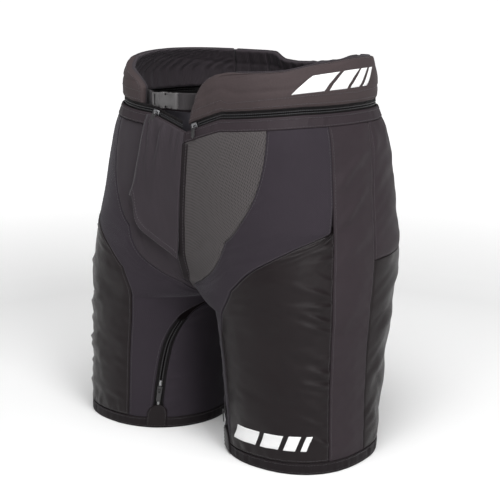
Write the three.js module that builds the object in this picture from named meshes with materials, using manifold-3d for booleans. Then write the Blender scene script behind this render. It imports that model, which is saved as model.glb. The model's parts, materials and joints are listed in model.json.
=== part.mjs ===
// Ice hockey pants: a zip-off outer shell hung from a padded waist belt.
// Millimetres, +Z up. The wearer faces -Y, their left is +X, and both hems stand on z = 0.

import * as THREE from 'three';
import { mergeVertices } from 'three/addons/utils/BufferGeometryUtils.js';
import Module from 'manifold-3d';

const wasm = await Module();
wasm.setup();

// Driving sizes of the shell.
const hemGap = 48; // clear space between the two hems
const hemWidth = 181;
const hemDepth = 178;
const hemForward = 42; // how far the hem's middle hangs in front of the waist's
const hemHeight = 14;
const thighWidth = 193;
const thighDepth = 202;
const crotchHeight = 178;
const crotchReach = 200; // outer side of the leg at the crotch, from the middle plane
const hipHeight = 245;
const hipReach = 194;
const hipDepth = 268;
const bellyReach = 183;
const bellyDepth = 258;
const waistHeight = 412;
const waistReach = 160.5;
const waistDepth = 233;
const waistDrop = 26; // how much lower the shell's edge lies at the centre front
const bandHeight = 14;
const fabric = 2; // shell panel with its backing
const seamGap = 0.7; // opening between two neighbouring panels
const layerGap = 0.35;

// Belt.
const beltLift = 8; // open strip with the zip between the shell and the belt
const beltFront = 44; // height of the belt's top above the waist edge at the front
const beltKidney = 60;
const beltDip = 45;
const beltBulge = 3;
const beltLean = 6;
const beltSkin = 1.5;
const beltFoam = 6.6;
const wingJoin = 0.72; // where the wings meet the back panel, as a station round the waist
const rightWingEnd = -0.92;
const leftWingEnd = -1.92;

// Zips, strap and buckle.
const zipTape = 1.1;
const zipSlit = 2.4;
const zipHalf = 0.045; // half of the thigh zip's width, as a station round the leg
const sliderLength = 9;
const sliderPlate = 1.1;
const pullLength = 15;
const pullWidth = 5.5;
const strapWidth = 20;
const strapThick = 1.5;
const buckleLength = 28;
const buckleHeight = 19;
const buckleThick = 7.6;
const buckleX = -45; // mouth of the buckle's housing
const buckleY = 6 - waistDepth / 2;
const buckleZ = waistHeight + 8.5;
const fit = 0.3;

// Pads behind the shell.
const capThick = 1.6;
const thighFoam = 9;
const hipFoam = 8;
const tailFoam = 8;
const padGap = 1.3;

const finishes = {
  thighNylon: ['#26252a', 0.42],
  sideNylon: ['#2b2a30', 0.5],
  stretchKnit: ['#24242b', 0.8],
  shieldMesh: ['#8b898c', 0.7],
  flyWoven: ['#2e2d33', 0.6],
  hemFabric: ['#1c1b1e', 0.75],
  beltCover: ['#3a383a', 0.72],
  beltLining: ['#201f23', 0.85],
  foam: ['#4a4a4c', 0.9],
  padCap: ['#1a1b1d', 0.45],
  webbing: ['#1d1d20', 0.8],
  bucklePlastic: ['#8d8d90', 0.45],
  zipTeeth: ['#17171a', 0.5],
  zipMetal: ['#b9bbbf', 0.3, 0.9],
};

const group = new THREE.Group();

function add(name, geometry, finish) {
  const [color, roughness, metalness = 0] = finishes[finish];
  const mesh = new THREE.Mesh(geometry, new THREE.MeshStandardMaterial({ color, roughness, metalness }));
  mesh.name = name;
  group.add(mesh);
}

function mirrored(geometry) {
  const copy = geometry.clone().scale(-1, 1, 1);
  const index = copy.index.array;
  for (let i = 0; i < index.length; i += 3) [index[i], index[i + 1]] = [index[i + 1], index[i]];
  return copy;
}

// Adds a piece that is the same on both legs.
function addPair(name, geometry, finish) {
  add(`left_${name}`, geometry, finish);
  add(`right_${name}`, mirrored(geometry), finish);
}

const clamp01 = (x) => Math.min(1, Math.max(0, x));
const smooth = (from, to, x) => {
  const t = clamp01((x - from) / (to - from));
  return t * t * (3 - 2 * t);
};
const mix = (a, b, t) => a + (b - a) * t;
const spread = (from, to, steps) => Array.from({ length: steps + 1 }, (_, i) => mix(from, to, i / steps));

// A smooth line through [position, value] stations that never overshoots them.
function through(stations) {
  const rise = stations.slice(1).map(([x, y], i) => (y - stations[i][1]) / (x - stations[i][0]));
  const slopes = stations.map((_, i) => {
    const [before, after] = [rise[i - 1], rise[i]];
    if (before === undefined) return after;
    if (after === undefined) return before;
    return before * after > 0 ? (2 * before * after) / (before + after) : 0;
  });
  return (x) => {
    let i = stations.findIndex(([at]) => x < at) - 1;
    if (i === -2) i = stations.length - 2;
    if (i < 0) i = 0;
    const [x0, y0] = stations[i];
    const [x1, y1] = stations[i + 1];
    const h = x1 - x0;
    const t = clamp01((x - x0) / h);
    return y0 * (1 + 2 * t) * (1 - t) ** 2 + slopes[i] * h * t * (1 - t) ** 2
      + y1 * t * t * (3 - 2 * t) + slopes[i + 1] * h * t * t * (t - 1);
  };
}

// The body's outer surface. A station u runs round the left leg: -2 centre front, -1 front of the
// thigh, 0 outer side, 1 back of the thigh, 2 centre back; v is the height along the cloth.
const thighHeight = crotchHeight * 0.48;
const bellyHeight = mix(hipHeight, waistHeight, 0.45);
const flankHeight = mix(bellyHeight, waistHeight, 0.65);
const flankReach = mix(bellyReach, waistReach, 0.48);
const frontRoll = crotchHeight + 38; // where the front centre line starts to roll under
const backRoll = crotchHeight + 46;
const outline = 2 / 2.35; // exponent of the rounded section

const reach = through([[0, hemGap / 2 + hemWidth], [thighHeight, crotchReach + 2],
  [crotchHeight, crotchReach], [hipHeight, hipReach], [bellyHeight, bellyReach],
  [flankHeight, flankReach], [waistHeight, waistReach]]);
const halfWidth = through([[0, hemWidth / 2], [thighHeight, thighWidth / 2],
  [crotchHeight, thighWidth / 2 + 9], [hipHeight, hipReach * 0.588], [bellyHeight, bellyReach * 0.64],
  [flankHeight, flankReach * 0.663], [waistHeight, waistReach * 0.663]]);
const halfDepth = through([[0, hemDepth / 2], [thighHeight, thighDepth / 2],
  [crotchHeight, mix(thighDepth, hipDepth, 0.5) / 2], [hipHeight, hipDepth / 2],
  [bellyHeight, bellyDepth / 2], [flankHeight, mix(bellyDepth, waistDepth, 0.5) / 2],
  [waistHeight, waistDepth / 2]]);
const middle = through([[0, -hemForward], [thighHeight, -hemForward * 0.8],
  [crotchHeight, -hemForward * 0.48], [hipHeight, -hemForward * 0.14], [bellyHeight, -2],
  [waistHeight, 0]]);
const frontHollow = through([[frontRoll, 22], [hipHeight, 13], [bellyHeight, 6], [waistHeight, 4]]);
const backHollow = through([[backRoll, 16], [hipHeight + 12, 6], [bellyHeight, 2], [waistHeight, 2]]);

// The innermost line of a leg: the centre line above the crotch, the inner thigh below it.
function innerLine(z, back) {
  const y = middle(z);
  if (z <= crotchHeight) {
    const t = Math.min(1, (crotchHeight - z) / crotchHeight);
    return [(hemGap / 2) * Math.sqrt(1 - (1 - t) ** 2.2), y];
  }
  const centre = (h) => (back ? middle(h) + halfDepth(h) - backHollow(h)
    : middle(h) - halfDepth(h) + frontHollow(h));
  const roll = back ? backRoll : frontRoll;
  if (z >= roll) return [0, centre(z)];
  const s = (z - crotchHeight) / (roll - crotchHeight);
  return [0, y + (centre(roll) - y) * Math.sqrt(1 - (1 - s) ** 2)];
}

function section(u, z) {
  const half = halfWidth(z);
  const x = reach(z) - half;
  const deep = halfDepth(z);
  if (Math.abs(u) <= 1) {
    const [c, s] = [Math.cos((u * Math.PI) / 2), Math.sin((u * Math.PI) / 2)];
    return new THREE.Vector3(x + half * Math.abs(c) ** outline,
      middle(z) + deep * Math.sign(s) * Math.abs(s) ** outline, z);
  }
  const back = u > 0;
  const t = Math.min(1, Math.abs(u) - 1);
  const y = middle(z) + (back ? deep : -deep);
  const [innerX, innerY] = innerLine(z, back);
  const bow = [mix(innerX, x, 1 - Math.sin((t * Math.PI) / 2)), mix(innerY, y, Math.cos((t * Math.PI) / 2))];
  const wave = [mix(x, innerX, t), mix(y, innerY, (1 - Math.cos(t * Math.PI)) / 2)];
  const blend = smooth(crotchHeight - 10, (back ? backRoll : frontRoll) + 25, z);
  return new THREE.Vector3(mix(bow[0], wave[0], blend), mix(bow[1], wave[1], blend), z);
}

const dropStart = waistHeight - 112;
function clothPoint(u, v) {
  const turn = clamp01((-u - 0.4) / 1.6) ** 1.3;
  return section(u, v - waistDrop * turn * smooth(dropStart, waistHeight, v));
}

function outward(u, v) {
  const e = 0.01;
  const along = clothPoint(Math.min(2, u + e), v).sub(clothPoint(Math.max(-2, u - e), v));
  const up = clothPoint(u, v + 1).sub(clothPoint(u, v - 1));
  return along.cross(up).normalize();
}

// A point `depth` under the shell's face. A flat depth stays level, as at a hem or a waist edge.
function shellPoint(u, v, depth, level = false) {
  const normal = outward(u, v);
  if (level) normal.setZ(0).normalize();
  return clothPoint(u, v).addScaledVector(normal, -depth);
}

function geometryOf(points, faces) {
  const geometry = new THREE.BufferGeometry();
  geometry.setAttribute('position', new THREE.Float32BufferAttribute(points.flatMap((p) => [p.x, p.y, p.z]), 3));
  geometry.setIndex(faces);
  return geometry;
}

// A closed curved plate between two depths. `at(s, t, depth)` gives its points for s along u and
// t upwards, both 0 to 1, and its four edges are drawn in by `trim`.
function plate(at, columns, rows, outer, inner, trim = seamGap / 2) {
  const skins = [outer, inner].map((depth) => {
    const rough = spread(0, 1, rows).map((t) => spread(0, 1, columns).map((s) => at(s, t, depth)));
    return rough.map((row, j) => row.map((point, i) => {
      const shift = new THREE.Vector3();
      const draw = (next) => shift.add(next.clone().sub(point).setLength(trim));
      if (i === 0) draw(row[1]);
      if (i === columns) draw(row[columns - 1]);
      if (j === 0) draw(rough[1][i]);
      if (j === rows) draw(rough[rows - 1][i]);
      return point.clone().add(shift);
    }));
  });
  const width = columns + 1;
  const inside = width * (rows + 1);
  const faces = [];
  const quad = (a, b, c, d) => faces.push(a, b, c, a, c, d);
  for (let j = 0; j < rows; j += 1) {
    for (let i = 0; i < columns; i += 1) {
      const a = j * width + i;
      quad(a, a + 1, a + width + 1, a + width);
      faces.push(a + inside, a + width + 1 + inside, a + 1 + inside);
      faces.push(a + inside, a + width + inside, a + width + 1 + inside);
    }
    const [left, right] = [j * width, j * width + columns];
    quad(left, left + width, left + width + inside, left + inside);
    quad(right, right + inside, right + width + inside, right + width);
  }
  for (let i = 0; i < columns; i += 1) {
    const top = rows * width + i;
    quad(i, i + inside, i + 1 + inside, i + 1);
    quad(top, top + 1, top + 1 + inside, top + inside);
  }
  return geometryOf(skins.flat(2), faces);
}

// Shell panels lie between two seam lines and share these levels, so that their seams match.
const yokeHeight = hipHeight + 35;
const bandFoot = waistHeight - bandHeight;
const upperLevels = Math.round((bandFoot - yokeHeight) / 30);
const levels = [...spread(hemHeight, crotchHeight, 5), ...spread(crotchHeight, yokeHeight, 5).slice(1),
  ...spread(yokeHeight, bandFoot, upperLevels).slice(1)];
const crotchLevel = 5;
const seatLevel = 8;
const yokeLevel = 10;
const topLevel = levels.length - 1;

const sideFrontSeam = through([[0, -0.33], [crotchHeight, -0.31], [yokeHeight, -0.28], [waistHeight, -0.24]]);
const sideRearSeam = through([[0, 0.03], [crotchHeight, 0.0], [yokeHeight, 0.01], [waistHeight, 0.08]]);
const backInnerSeam = through([[0, 1.3], [crotchHeight * 0.6, 1.36], [crotchHeight - 12, 1.7], [crotchHeight, 2]]);
const zipSeam = through([[0, -1.4], [crotchHeight * 0.6, -1.48], [crotchHeight * 0.85, -1.61],
  [crotchHeight, -1.9]]);
const flySeam = through([[crotchHeight, -1.9], [mix(crotchHeight, yokeHeight, 0.2), -1.85],
  [mix(crotchHeight, yokeHeight, 0.35), -1.56], [mix(crotchHeight, yokeHeight, 0.58), -1.23],
  [mix(crotchHeight, yokeHeight, 0.82), -1.03], [yokeHeight + 14, -0.88], [yokeHeight + 46, -0.76],
  [waistHeight, -0.68]]);
const thighSeam = (reachInside) => through([[0, -reachInside], [crotchHeight * 0.8, -reachInside],
  [crotchHeight + 6, -mix(reachInside, 1.1, 0.7)], [mix(crotchHeight, yokeHeight, 0.3), -1.02],
  [mix(crotchHeight, yokeHeight, 0.57), -0.86], [mix(crotchHeight, yokeHeight, 0.84), -0.56],
  [yokeHeight, -0.3]]);
const thighSeams = { left: thighSeam(1.31), right: thighSeam(1.14) };

// The surface map of the panel between two seams and two levels, open to a part of itself.
function panelMap(from, to, low, high, part = [0, 1]) {
  return (s, t, depth) => {
    const row = low + t * (high - low);
    const base = Math.min(Math.floor(row), levels.length - 2);
    const v = mix(levels[base], levels[base + 1], row - base);
    const u = mix(from(v), to(v), mix(part[0], part[1], s));
    return shellPoint(u < -2 ? u + 4 : u, v, depth);
  };
}

function shellPanel(from, to, low, high, columns) {
  return plate(panelMap(from, to, low, high), columns, high - low, 0, fabric);
}

const centreFront = () => -2;
const centreBack = () => 2;
const yokeInner = (v) => (v < crotchHeight ? zipSeam(v) + zipHalf : flySeam(v));

function shellPanels() {
  add('left_fly_shield', shellPanel(centreFront, flySeam, crotchLevel, topLevel, 8), 'shieldMesh');
  add('right_fly_panel', mirrored(shellPanel(centreFront, flySeam, crotchLevel, topLevel, 8)), 'flyWoven');
  for (const side of ['left', 'right']) {
    const place = side === 'left' ? (geometry) => geometry : mirrored;
    const thigh = thighSeams[side];
    const yokeOuter = (v) => (v < yokeHeight + 1 ? thigh(v) : sideFrontSeam(v));
    const yoke = shellPanel(yokeInner, yokeOuter, 0, topLevel, 8);
    add(`${side}_stretch_yoke`, place(yoke), 'stretchKnit');
    add(`${side}_thigh_panel`, place(shellPanel(thigh, sideFrontSeam, 0, yokeLevel, 10)), 'thighNylon');
  }
  addPair('side_panel', shellPanel(sideFrontSeam, sideRearSeam, 0, topLevel, 4), 'sideNylon');
  addPair('seat_panel', shellPanel(sideRearSeam, centreBack, seatLevel, topLevel, 12), 'sideNylon');
  addPair('back_thigh_panel', shellPanel(sideRearSeam, backInnerSeam, 0, seatLevel, 12), 'thighNylon');
  const innerBack = shellPanel((v) => backInnerSeam(v) - 4, (v) => zipSeam(v) - zipHalf, 0, crotchLevel, 6);
  addPair('inner_thigh_panel', innerBack, 'stretchKnit');
}

// A hem band goes once round the leg with its foot flat on z = 0.
function hemBand(stations, proud, inside) {
  const points = [];
  const faces = [];
  for (let k = 0; k < stations; k += 1) {
    const u = -2 + (4 * k) / stations;
    const [foot, top] = [0, hemHeight - seamGap / 2];
    const corners = [[foot, -proud], [top, -proud], [top, inside], [foot, inside]];
    points.push(...corners.map(([v, depth]) => shellPoint(u, v, depth, true)));
    const next = ((k + 1) % stations) * 4;
    for (let c = 0; c < 4; c += 1) {
      const [a, b] = [k * 4 + c, k * 4 + ((c + 1) % 4)];
      const [d, e] = [next + c, next + ((c + 1) % 4)];
      faces.push(a, d, e, a, e, b);
    }
  }
  return geometryOf(points, faces);
}

function waistEdge() {
  const band = (s, t, depth) => shellPoint(mix(-2, 2, s), mix(bandFoot, waistHeight, t), depth, true);
  addPair('waistband', plate(band, 32, 1, -0.6, fabric), 'sideNylon');
  const tapeWidth = 13;
  const tape = (s, t, depth) => {
    const v = mix(hipHeight, bandFoot - 1, t);
    return shellPoint(-2, v, depth).setX((s - 0.5) * tapeWidth);
  };
  add('centre_front_tape', plate(tape, 2, 8, -1.9, -0.9, 0), 'hemFabric');
}

// The belt stands on the waist edge's own line. w runs from its lower edge, 0, to its top, 1.
const beltTop = through([[-2, waistHeight + beltFront - 4], [-1.3, waistHeight + beltFront],
  [-0.6, waistHeight + beltFront + 4], [-0.25, waistHeight + beltKidney - 4],
  [0.1, waistHeight + beltKidney], [0.9, waistHeight + beltKidney - 3],
  [1.3, waistHeight + beltKidney - 4], [1.65, waistHeight + beltDip + 2], [2, waistHeight + beltDip]]);

function beltPoint(u, w, depth) {
  const edge = clothPoint(u, waistHeight);
  const normal = outward(u, waistHeight).setZ(0).normalize();
  const out = beltBulge * Math.sin(Math.PI * w) - beltLean * w - 1.5 - depth;
  const point = edge.clone().addScaledVector(normal, out);
  return point.setZ(mix(edge.z + beltLift, beltTop(u), w));
}

const beltLayers = [
  ['cover', 0, beltSkin, 'beltCover'],
  ['foam', beltSkin + layerGap, beltSkin + layerGap + beltFoam, 'foam'],
  ['lining', beltSkin + 2 * layerGap + beltFoam, 2 * (beltSkin + layerGap) + beltFoam, 'beltLining'],
];
const beltInside = 2 * (beltSkin + layerGap) + beltFoam;

function belt() {
  const leftEnd = (w) => leftWingEnd + 0.42 * w ** 1.6;
  const left = (s, t, depth) => beltPoint(mix(leftEnd(t), wingJoin, s), t, depth);
  const right = (s, t, depth) => beltPoint(mix(rightWingEnd, wingJoin, s), t, depth);
  const back = (s, t, depth) => {
    const q = mix(wingJoin - 2, 2 - wingJoin, s);
    const point = beltPoint(2 - Math.abs(q), t, depth);
    return q > 0 ? point.setX(-point.x) : point;
  };
  for (const [layer, outer, inner, finish] of beltLayers) {
    add(`left_belt_${layer}`, plate(left, 20, 3, outer, inner), finish);
    add(`right_belt_${layer}`, mirrored(plate(right, 14, 3, outer, inner)), finish);
    add(`back_belt_${layer}`, plate(back, 12, 3, outer, inner), finish);
  }
}

// A frame at a point of the cloth: x along a path, y into the body, z across the path.
function frameAt(point, ahead, normal) {
  const along = ahead.clone().normalize();
  const inward = normal.clone().negate().addScaledVector(along, normal.dot(along)).normalize();
  const across = along.clone().cross(inward);
  return new THREE.Matrix4().makeBasis(along, inward, across).setPosition(point);
}

function solidOf(geometry) {
  const bare = geometry.clone();
  bare.deleteAttribute('normal');
  bare.deleteAttribute('uv');
  const merged = mergeVertices(bare, 1e-4);
  return new wasm.Manifold(new wasm.Mesh({
    numProp: 3,
    vertProperties: new Float32Array(merged.attributes.position.array),
    triVerts: new Uint32Array(merged.index.array),
  }));
}

function fromSolid(solid) {
  const mesh = solid.getMesh();
  const geometry = new THREE.BufferGeometry();
  geometry.setAttribute('position', new THREE.Float32BufferAttribute(mesh.vertProperties, 3));
  geometry.setIndex(Array.from(mesh.triVerts));
  return geometry;
}

const block = (x0, x1, y0, y1, z0, z1) => new THREE.BoxGeometry(x1 - x0, y1 - y0, z1 - z0)
  .translate((x0 + x1) / 2, (y0 + y1) / 2, (z0 + z1) / 2);

// Slider: two plates either side of the teeth, a bridge in the slit and a lug for the pull.
const sliderHalf = 3.3;
const sliderFront = -1.8; // outer plate's face, measured from the teeth's outer face
const lugReach = 3;
const lugHalf = 0.9;
const pivotDepth = sliderFront - lugReach + 0.8;

function slider() {
  const backFrom = zipTape + 0.7;
  const plates = [
    block(-sliderLength / 2, sliderLength / 2, sliderFront, sliderFront + sliderPlate, -sliderHalf, sliderHalf),
    block(-sliderLength / 2, sliderLength / 2, backFrom, backFrom + sliderPlate, -sliderHalf, sliderHalf),
    block(0.5, sliderLength / 2, sliderFront + 0.2, backFrom + 0.2, -0.4, 0.4),
    block(-lugHalf, lugHalf, sliderFront - lugReach, sliderFront + 0.2, -lugHalf, lugHalf),
  ];
  return fromSolid(plates.map(solidOf).reduce((whole, next) => whole.add(next)));
}

// Pull: a forked tab whose two ears hold the lug between them; it hangs along `down`.
function pull() {
  const half = pullWidth / 2;
  const ear = lugHalf + fit;
  const shape = new THREE.Shape();
  shape.moveTo(-half, 0.8);
  shape.lineTo(-half, -pullLength + half);
  shape.absarc(0, -pullLength + half, half, Math.PI, 2 * Math.PI, false);
  shape.lineTo(half, 0.8);
  shape.lineTo(ear, 0.8);
  shape.lineTo(ear, -2.6);
  shape.lineTo(-ear, -2.6);
  shape.lineTo(-ear, 0.8);
  shape.closePath();
  return new THREE.ExtrudeGeometry(shape, { depth: 1, bevelEnabled: false, curveSegments: 6 })
    .translate(0, 0, -0.5);
}

function indexed(geometry) {
  const bare = geometry.clone();
  bare.deleteAttribute('normal');
  bare.deleteAttribute('uv');
  return mergeVertices(bare, 1e-4);
}

// Waist zip: one row on the shell's edge and one under the belt, each side of a slit.
const waistZip = [-1.86, 1.98];
const zipDepth = fabric + 0.5;
const slitMiddle = beltLift / 2 - 0.2;
const waistSliderAt = -1.78;
const waistSliderStop = -1.15; // the zip runs straight up to here
const waistPullTilt = 0.32; // the pull lies along the shell, which widens below the waist

function waistZipPoint(u, lift, depth) {
  const point = shellPoint(u, waistHeight, depth, true);
  return point.setZ(point.z + lift);
}

function waistZips() {
  const row = (low, high) => (s, t, depth) => waistZipPoint(mix(...waistZip, s), mix(low, high, t), depth);
  const lower = row(-8, slitMiddle - zipSlit / 2);
  const upper = row(slitMiddle + zipSlit / 2, beltLift - 0.5);
  addPair('waist_zip_lower', plate(lower, 38, 1, zipDepth, zipDepth + zipTape, 0), 'zipTeeth');
  addPair('waist_zip_upper', plate(upper, 38, 1, zipDepth, zipDepth + zipTape, 0), 'zipTeeth');
  const point = waistZipPoint(waistSliderAt, slitMiddle, zipDepth);
  const ahead = waistZipPoint(waistSliderStop, slitMiddle, zipDepth).sub(point);
  const place = frameAt(point, ahead, outward(waistSliderAt, waistHeight).setZ(0).normalize());
  const parked = new THREE.Matrix4().makeTranslation(ahead); // the right slider waits under the buckle
  const closed = slider().applyMatrix4(place);
  add('left_waist_zip_slider', closed, 'zipMetal');
  add('right_waist_zip_slider', mirrored(closed.clone().applyMatrix4(parked)), 'zipMetal');
  const hang = new THREE.Matrix4().makeRotationX(Math.PI / 2 - waistPullTilt).setPosition(0, pivotDepth, 0);
  const hanging = indexed(pull()).applyMatrix4(hang).applyMatrix4(place);
  add('left_waist_zip_pull', hanging, 'zipMetal');
  add('right_waist_zip_pull', mirrored(hanging.clone().applyMatrix4(parked)), 'zipMetal');
}

// Thigh zip: two rows side by side down the inner thigh, with a tab over its foot.
const thighSliderAt = 52;

function thighZips() {
  const rowEdge = 0.011; // half of the slit, as a station
  const row = (near, far) => (s, t, depth) => {
    const v = mix(levels[0], levels[crotchLevel - 1], t);
    return shellPoint(zipSeam(v) + mix(near, far, s), v, depth);
  };
  const front = row(rowEdge, zipHalf);
  const back = row(-zipHalf, -rowEdge);
  addPair('thigh_zip_front', plate(front, 1, crotchLevel - 1, 0.4, 0.4 + zipTape), 'zipTeeth');
  addPair('thigh_zip_back', plate(back, 1, crotchLevel - 1, 0.4, 0.4 + zipTape), 'zipTeeth');
  const on = (v) => shellPoint(zipSeam(v), v, 0.4);
  const ahead = on(thighSliderAt + 45).sub(on(thighSliderAt));
  const place = frameAt(on(thighSliderAt), ahead, outward(zipSeam(thighSliderAt), thighSliderAt));
  addPair('thigh_zip_slider', slider().applyMatrix4(place), 'zipMetal');
  const hang = new THREE.Matrix4().makeRotationX(Math.PI / 2).multiply(new THREE.Matrix4().makeRotationZ(-Math.PI / 2))
    .setPosition(0, pivotDepth, 0);
  addPair('thigh_zip_pull', indexed(pull()).applyMatrix4(hang).applyMatrix4(place), 'zipMetal');
  const tabHalf = 0.09;
  const tab = (s, t, depth) => {
    const v = mix(3, 32, t);
    return shellPoint(zipSeam(v) + (s - 0.5) * 2 * tabHalf * (1 - 0.35 * t ** 4), v, depth);
  };
  addPair('zip_tab', plate(tab, 3, 4, -2.4, -1.2, 0), 'thighNylon');
}

// Strap: an upright ribbon along points of x and y, mitred at each point.
function ribbon(path, low, high, thick) {
  const points = [];
  path.forEach((here, i) => {
    const before = path[Math.max(0, i - 1)];
    const after = path[Math.min(path.length - 1, i + 1)];
    const side = new THREE.Vector2(after.y - before.y, before.x - after.x).setLength(thick / 2);
    for (const sign of [1, -1]) {
      for (const z of [low, high]) {
        points.push(new THREE.Vector3(here.x + side.x * sign, here.y + side.y * sign, z));
      }
    }
  });
  const faces = [];
  const quad = (a, b, c, d) => faces.push(a, b, c, a, c, d);
  for (let i = 0; i < path.length - 1; i += 1) {
    const [a, b] = [i * 4, i * 4 + 4];
    quad(a, b, b + 1, a + 1);
    quad(a + 2, a + 3, b + 3, b + 2);
    quad(a + 1, b + 1, b + 3, a + 3);
    quad(a, a + 2, b + 2, b);
  }
  const last = (path.length - 1) * 4;
  quad(0, 1, 3, 2);
  quad(last, last + 2, last + 3, last + 1);
  return geometryOf(points, faces);
}

const beltSway = 2.4; // how far the belt's bulge moves its inner face over the strap's width

function strapPath(stations, side, start) {
  const behind = stations.map((u) => {
    const point = beltPoint(u, 0.4, beltInside + layerGap + beltSway + strapThick / 2);
    return new THREE.Vector2(point.x * side, point.y);
  });
  return [...start, ...behind];
}

function buckleAndStraps() {
  const [low, high] = [buckleZ - strapWidth / 2, buckleZ + strapWidth / 2];
  const housingEnd = buckleX + buckleLength;
  const leftStart = [new THREE.Vector2(housingEnd + fit, buckleY), new THREE.Vector2(housingEnd + 8, buckleY + 1)];
  const leftPath = strapPath([-1.97, -1.86, -1.75, -1.6], 1, leftStart);
  add('left_strap', ribbon(leftPath, low, high, strapThick), 'webbing');
  const baseLength = 12;
  const baseEnd = buckleX - fit - baseLength;
  const rightStart = [new THREE.Vector2(baseEnd - fit, buckleY), new THREE.Vector2(baseEnd - 3, buckleY)];
  const rightPath = strapPath([-0.925, -0.9, -0.86, -0.82], -1, rightStart).reverse();
  add('right_strap', ribbon(rightPath, low, high, strapThick), 'webbing');

  const [halfHigh, halfThick] = [buckleHeight / 2, buckleThick / 2];
  const wall = 1.6;
  const channel = halfHigh - wall;
  const armRoot = 5.2;
  const armThick = 2.2;
  const windowFrom = 8;
  const windowTo = 20;
  const shell = solidOf(block(0, buckleLength, -halfThick, halfThick, -halfHigh, halfHigh));
  const hollow = solidOf(block(-1, buckleLength - 4, -halfThick + wall, halfThick - wall, -channel, channel));
  const windows = [1, -1].map((sign) => solidOf(block(windowFrom, windowTo, -halfThick - 1, halfThick + 1,
    Math.min(sign * 6.4, sign * (halfHigh + 1)), Math.max(sign * 6.4, sign * (halfHigh + 1)))));
  const housing = windows.reduce((whole, cut) => whole.subtract(cut), shell.subtract(hollow));
  add('buckle_housing', fromSolid(housing).translate(buckleX, buckleY, buckleZ), 'bucklePlastic');

  const base = solidOf(block(-fit - baseLength, -fit, -halfThick + 0.6, halfThick - 0.6, -halfHigh + 1, halfHigh - 1));
  const slot = solidOf(block(-fit - baseLength + 2.4, -fit - baseLength + 5, -halfThick, halfThick, -7, 7));
  const guide = solidOf(block(-fit - 1, windowTo, -1.4, 1.4, -1.2, 1.2));
  add('buckle_insert', fromSolid(base.subtract(slot).add(guide)).translate(buckleX, buckleY, buckleZ),
    'bucklePlastic');

  const armShape = new THREE.Shape();
  armShape.moveTo(0, armRoot - armThick);
  armShape.lineTo(windowTo - 1.2, armRoot - armThick + 1);
  armShape.lineTo(windowTo - 1.2, armRoot + 1.2);
  armShape.quadraticCurveTo(windowTo - 2, halfHigh, windowTo - 5, halfHigh);
  armShape.lineTo(windowFrom + 1.2, halfHigh - 0.6);
  armShape.lineTo(windowFrom + 1.2, armRoot + 0.4);
  armShape.lineTo(0, armRoot);
  armShape.closePath();
  const arm = indexed(new THREE.ExtrudeGeometry(armShape, { depth: 3.6, bevelEnabled: false, curveSegments: 5 })
    .translate(0, 0, -1.8).rotateX(Math.PI / 2));
  add('upper_buckle_arm', arm.clone().translate(buckleX, buckleY, buckleZ), 'bucklePlastic');
  const lower = arm.clone().rotateX(Math.PI).translate(buckleX, buckleY, buckleZ);
  add('lower_buckle_arm', lower, 'bucklePlastic');
}

function underlay() {
  const sheet = (s, t, depth) => {
    const q = mix(-1.18, 0.62, s); // stations from the centre front, the wearer's right negative
    const point = beltPoint(-2 + Math.abs(q), 0, depth);
    if (q < 0) point.setX(-point.x);
    return point.setZ(mix(waistHeight - 42, buckleZ - strapWidth / 2 - 3, t));
  };
  const top = beltInside + layerGap;
  add('front_underlay', plate(sheet, 14, 2, top, top + 1.2, 0), 'stretchKnit');
}

function pads() {
  const capDepth = fabric + layerGap;
  const foamDepth = capDepth + capThick + layerGap;
  for (const side of ['left', 'right']) {
    const place = side === 'left' ? (geometry) => geometry : mirrored;
    const map = panelMap(thighSeams[side], sideFrontSeam, 1, 8, [0.3, 0.9]);
    const cap = plate(map, 6, 7, capDepth, capDepth + capThick, 1);
    const foam = plate(map, 6, 7, foamDepth, foamDepth + thighFoam, 0.2);
    add(`${side}_thigh_cap`, place(cap), 'padCap');
    add(`${side}_thigh_foam`, place(foam), 'foam');
  }
  const hip = (s, t, depth) => shellPoint(mix(-0.24, 0.4, s), mix(hipHeight + 2, bandFoot - 36, t), depth);
  addPair('hip_foam', plate(hip, 8, 6, fabric + padGap, fabric + padGap + hipFoam, 0), 'foam');
  const tail = (s, t, depth) => {
    const q = mix(-0.42, 0.42, s);
    const point = shellPoint(2 - Math.abs(q), mix(hipHeight + 6, bandFoot - 12, t), depth);
    return q > 0 ? point.setX(-point.x) : point;
  };
  add('tail_foam', plate(tail, 8, 6, fabric + padGap, fabric + padGap + tailFoam, 0), 'foam');
}

shellPanels();
addPair('hem_band', hemBand(44, 0.8, 2.6), 'hemFabric');
waistEdge();
belt();
waistZips();
thighZips();
buckleAndStraps();
underlay();
pads();

// The origin lies under the middle of the whole.
const whole = new THREE.Box3().setFromObject(group);
group.position.y = -(whole.min.y + whole.max.y) / 2;

export default group;
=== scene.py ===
# Ice hockey pants: cloth, padding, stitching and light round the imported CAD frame.
# Metres, +Z up. The wearer faces -Y and their left side is +X.

import json
import math

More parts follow.
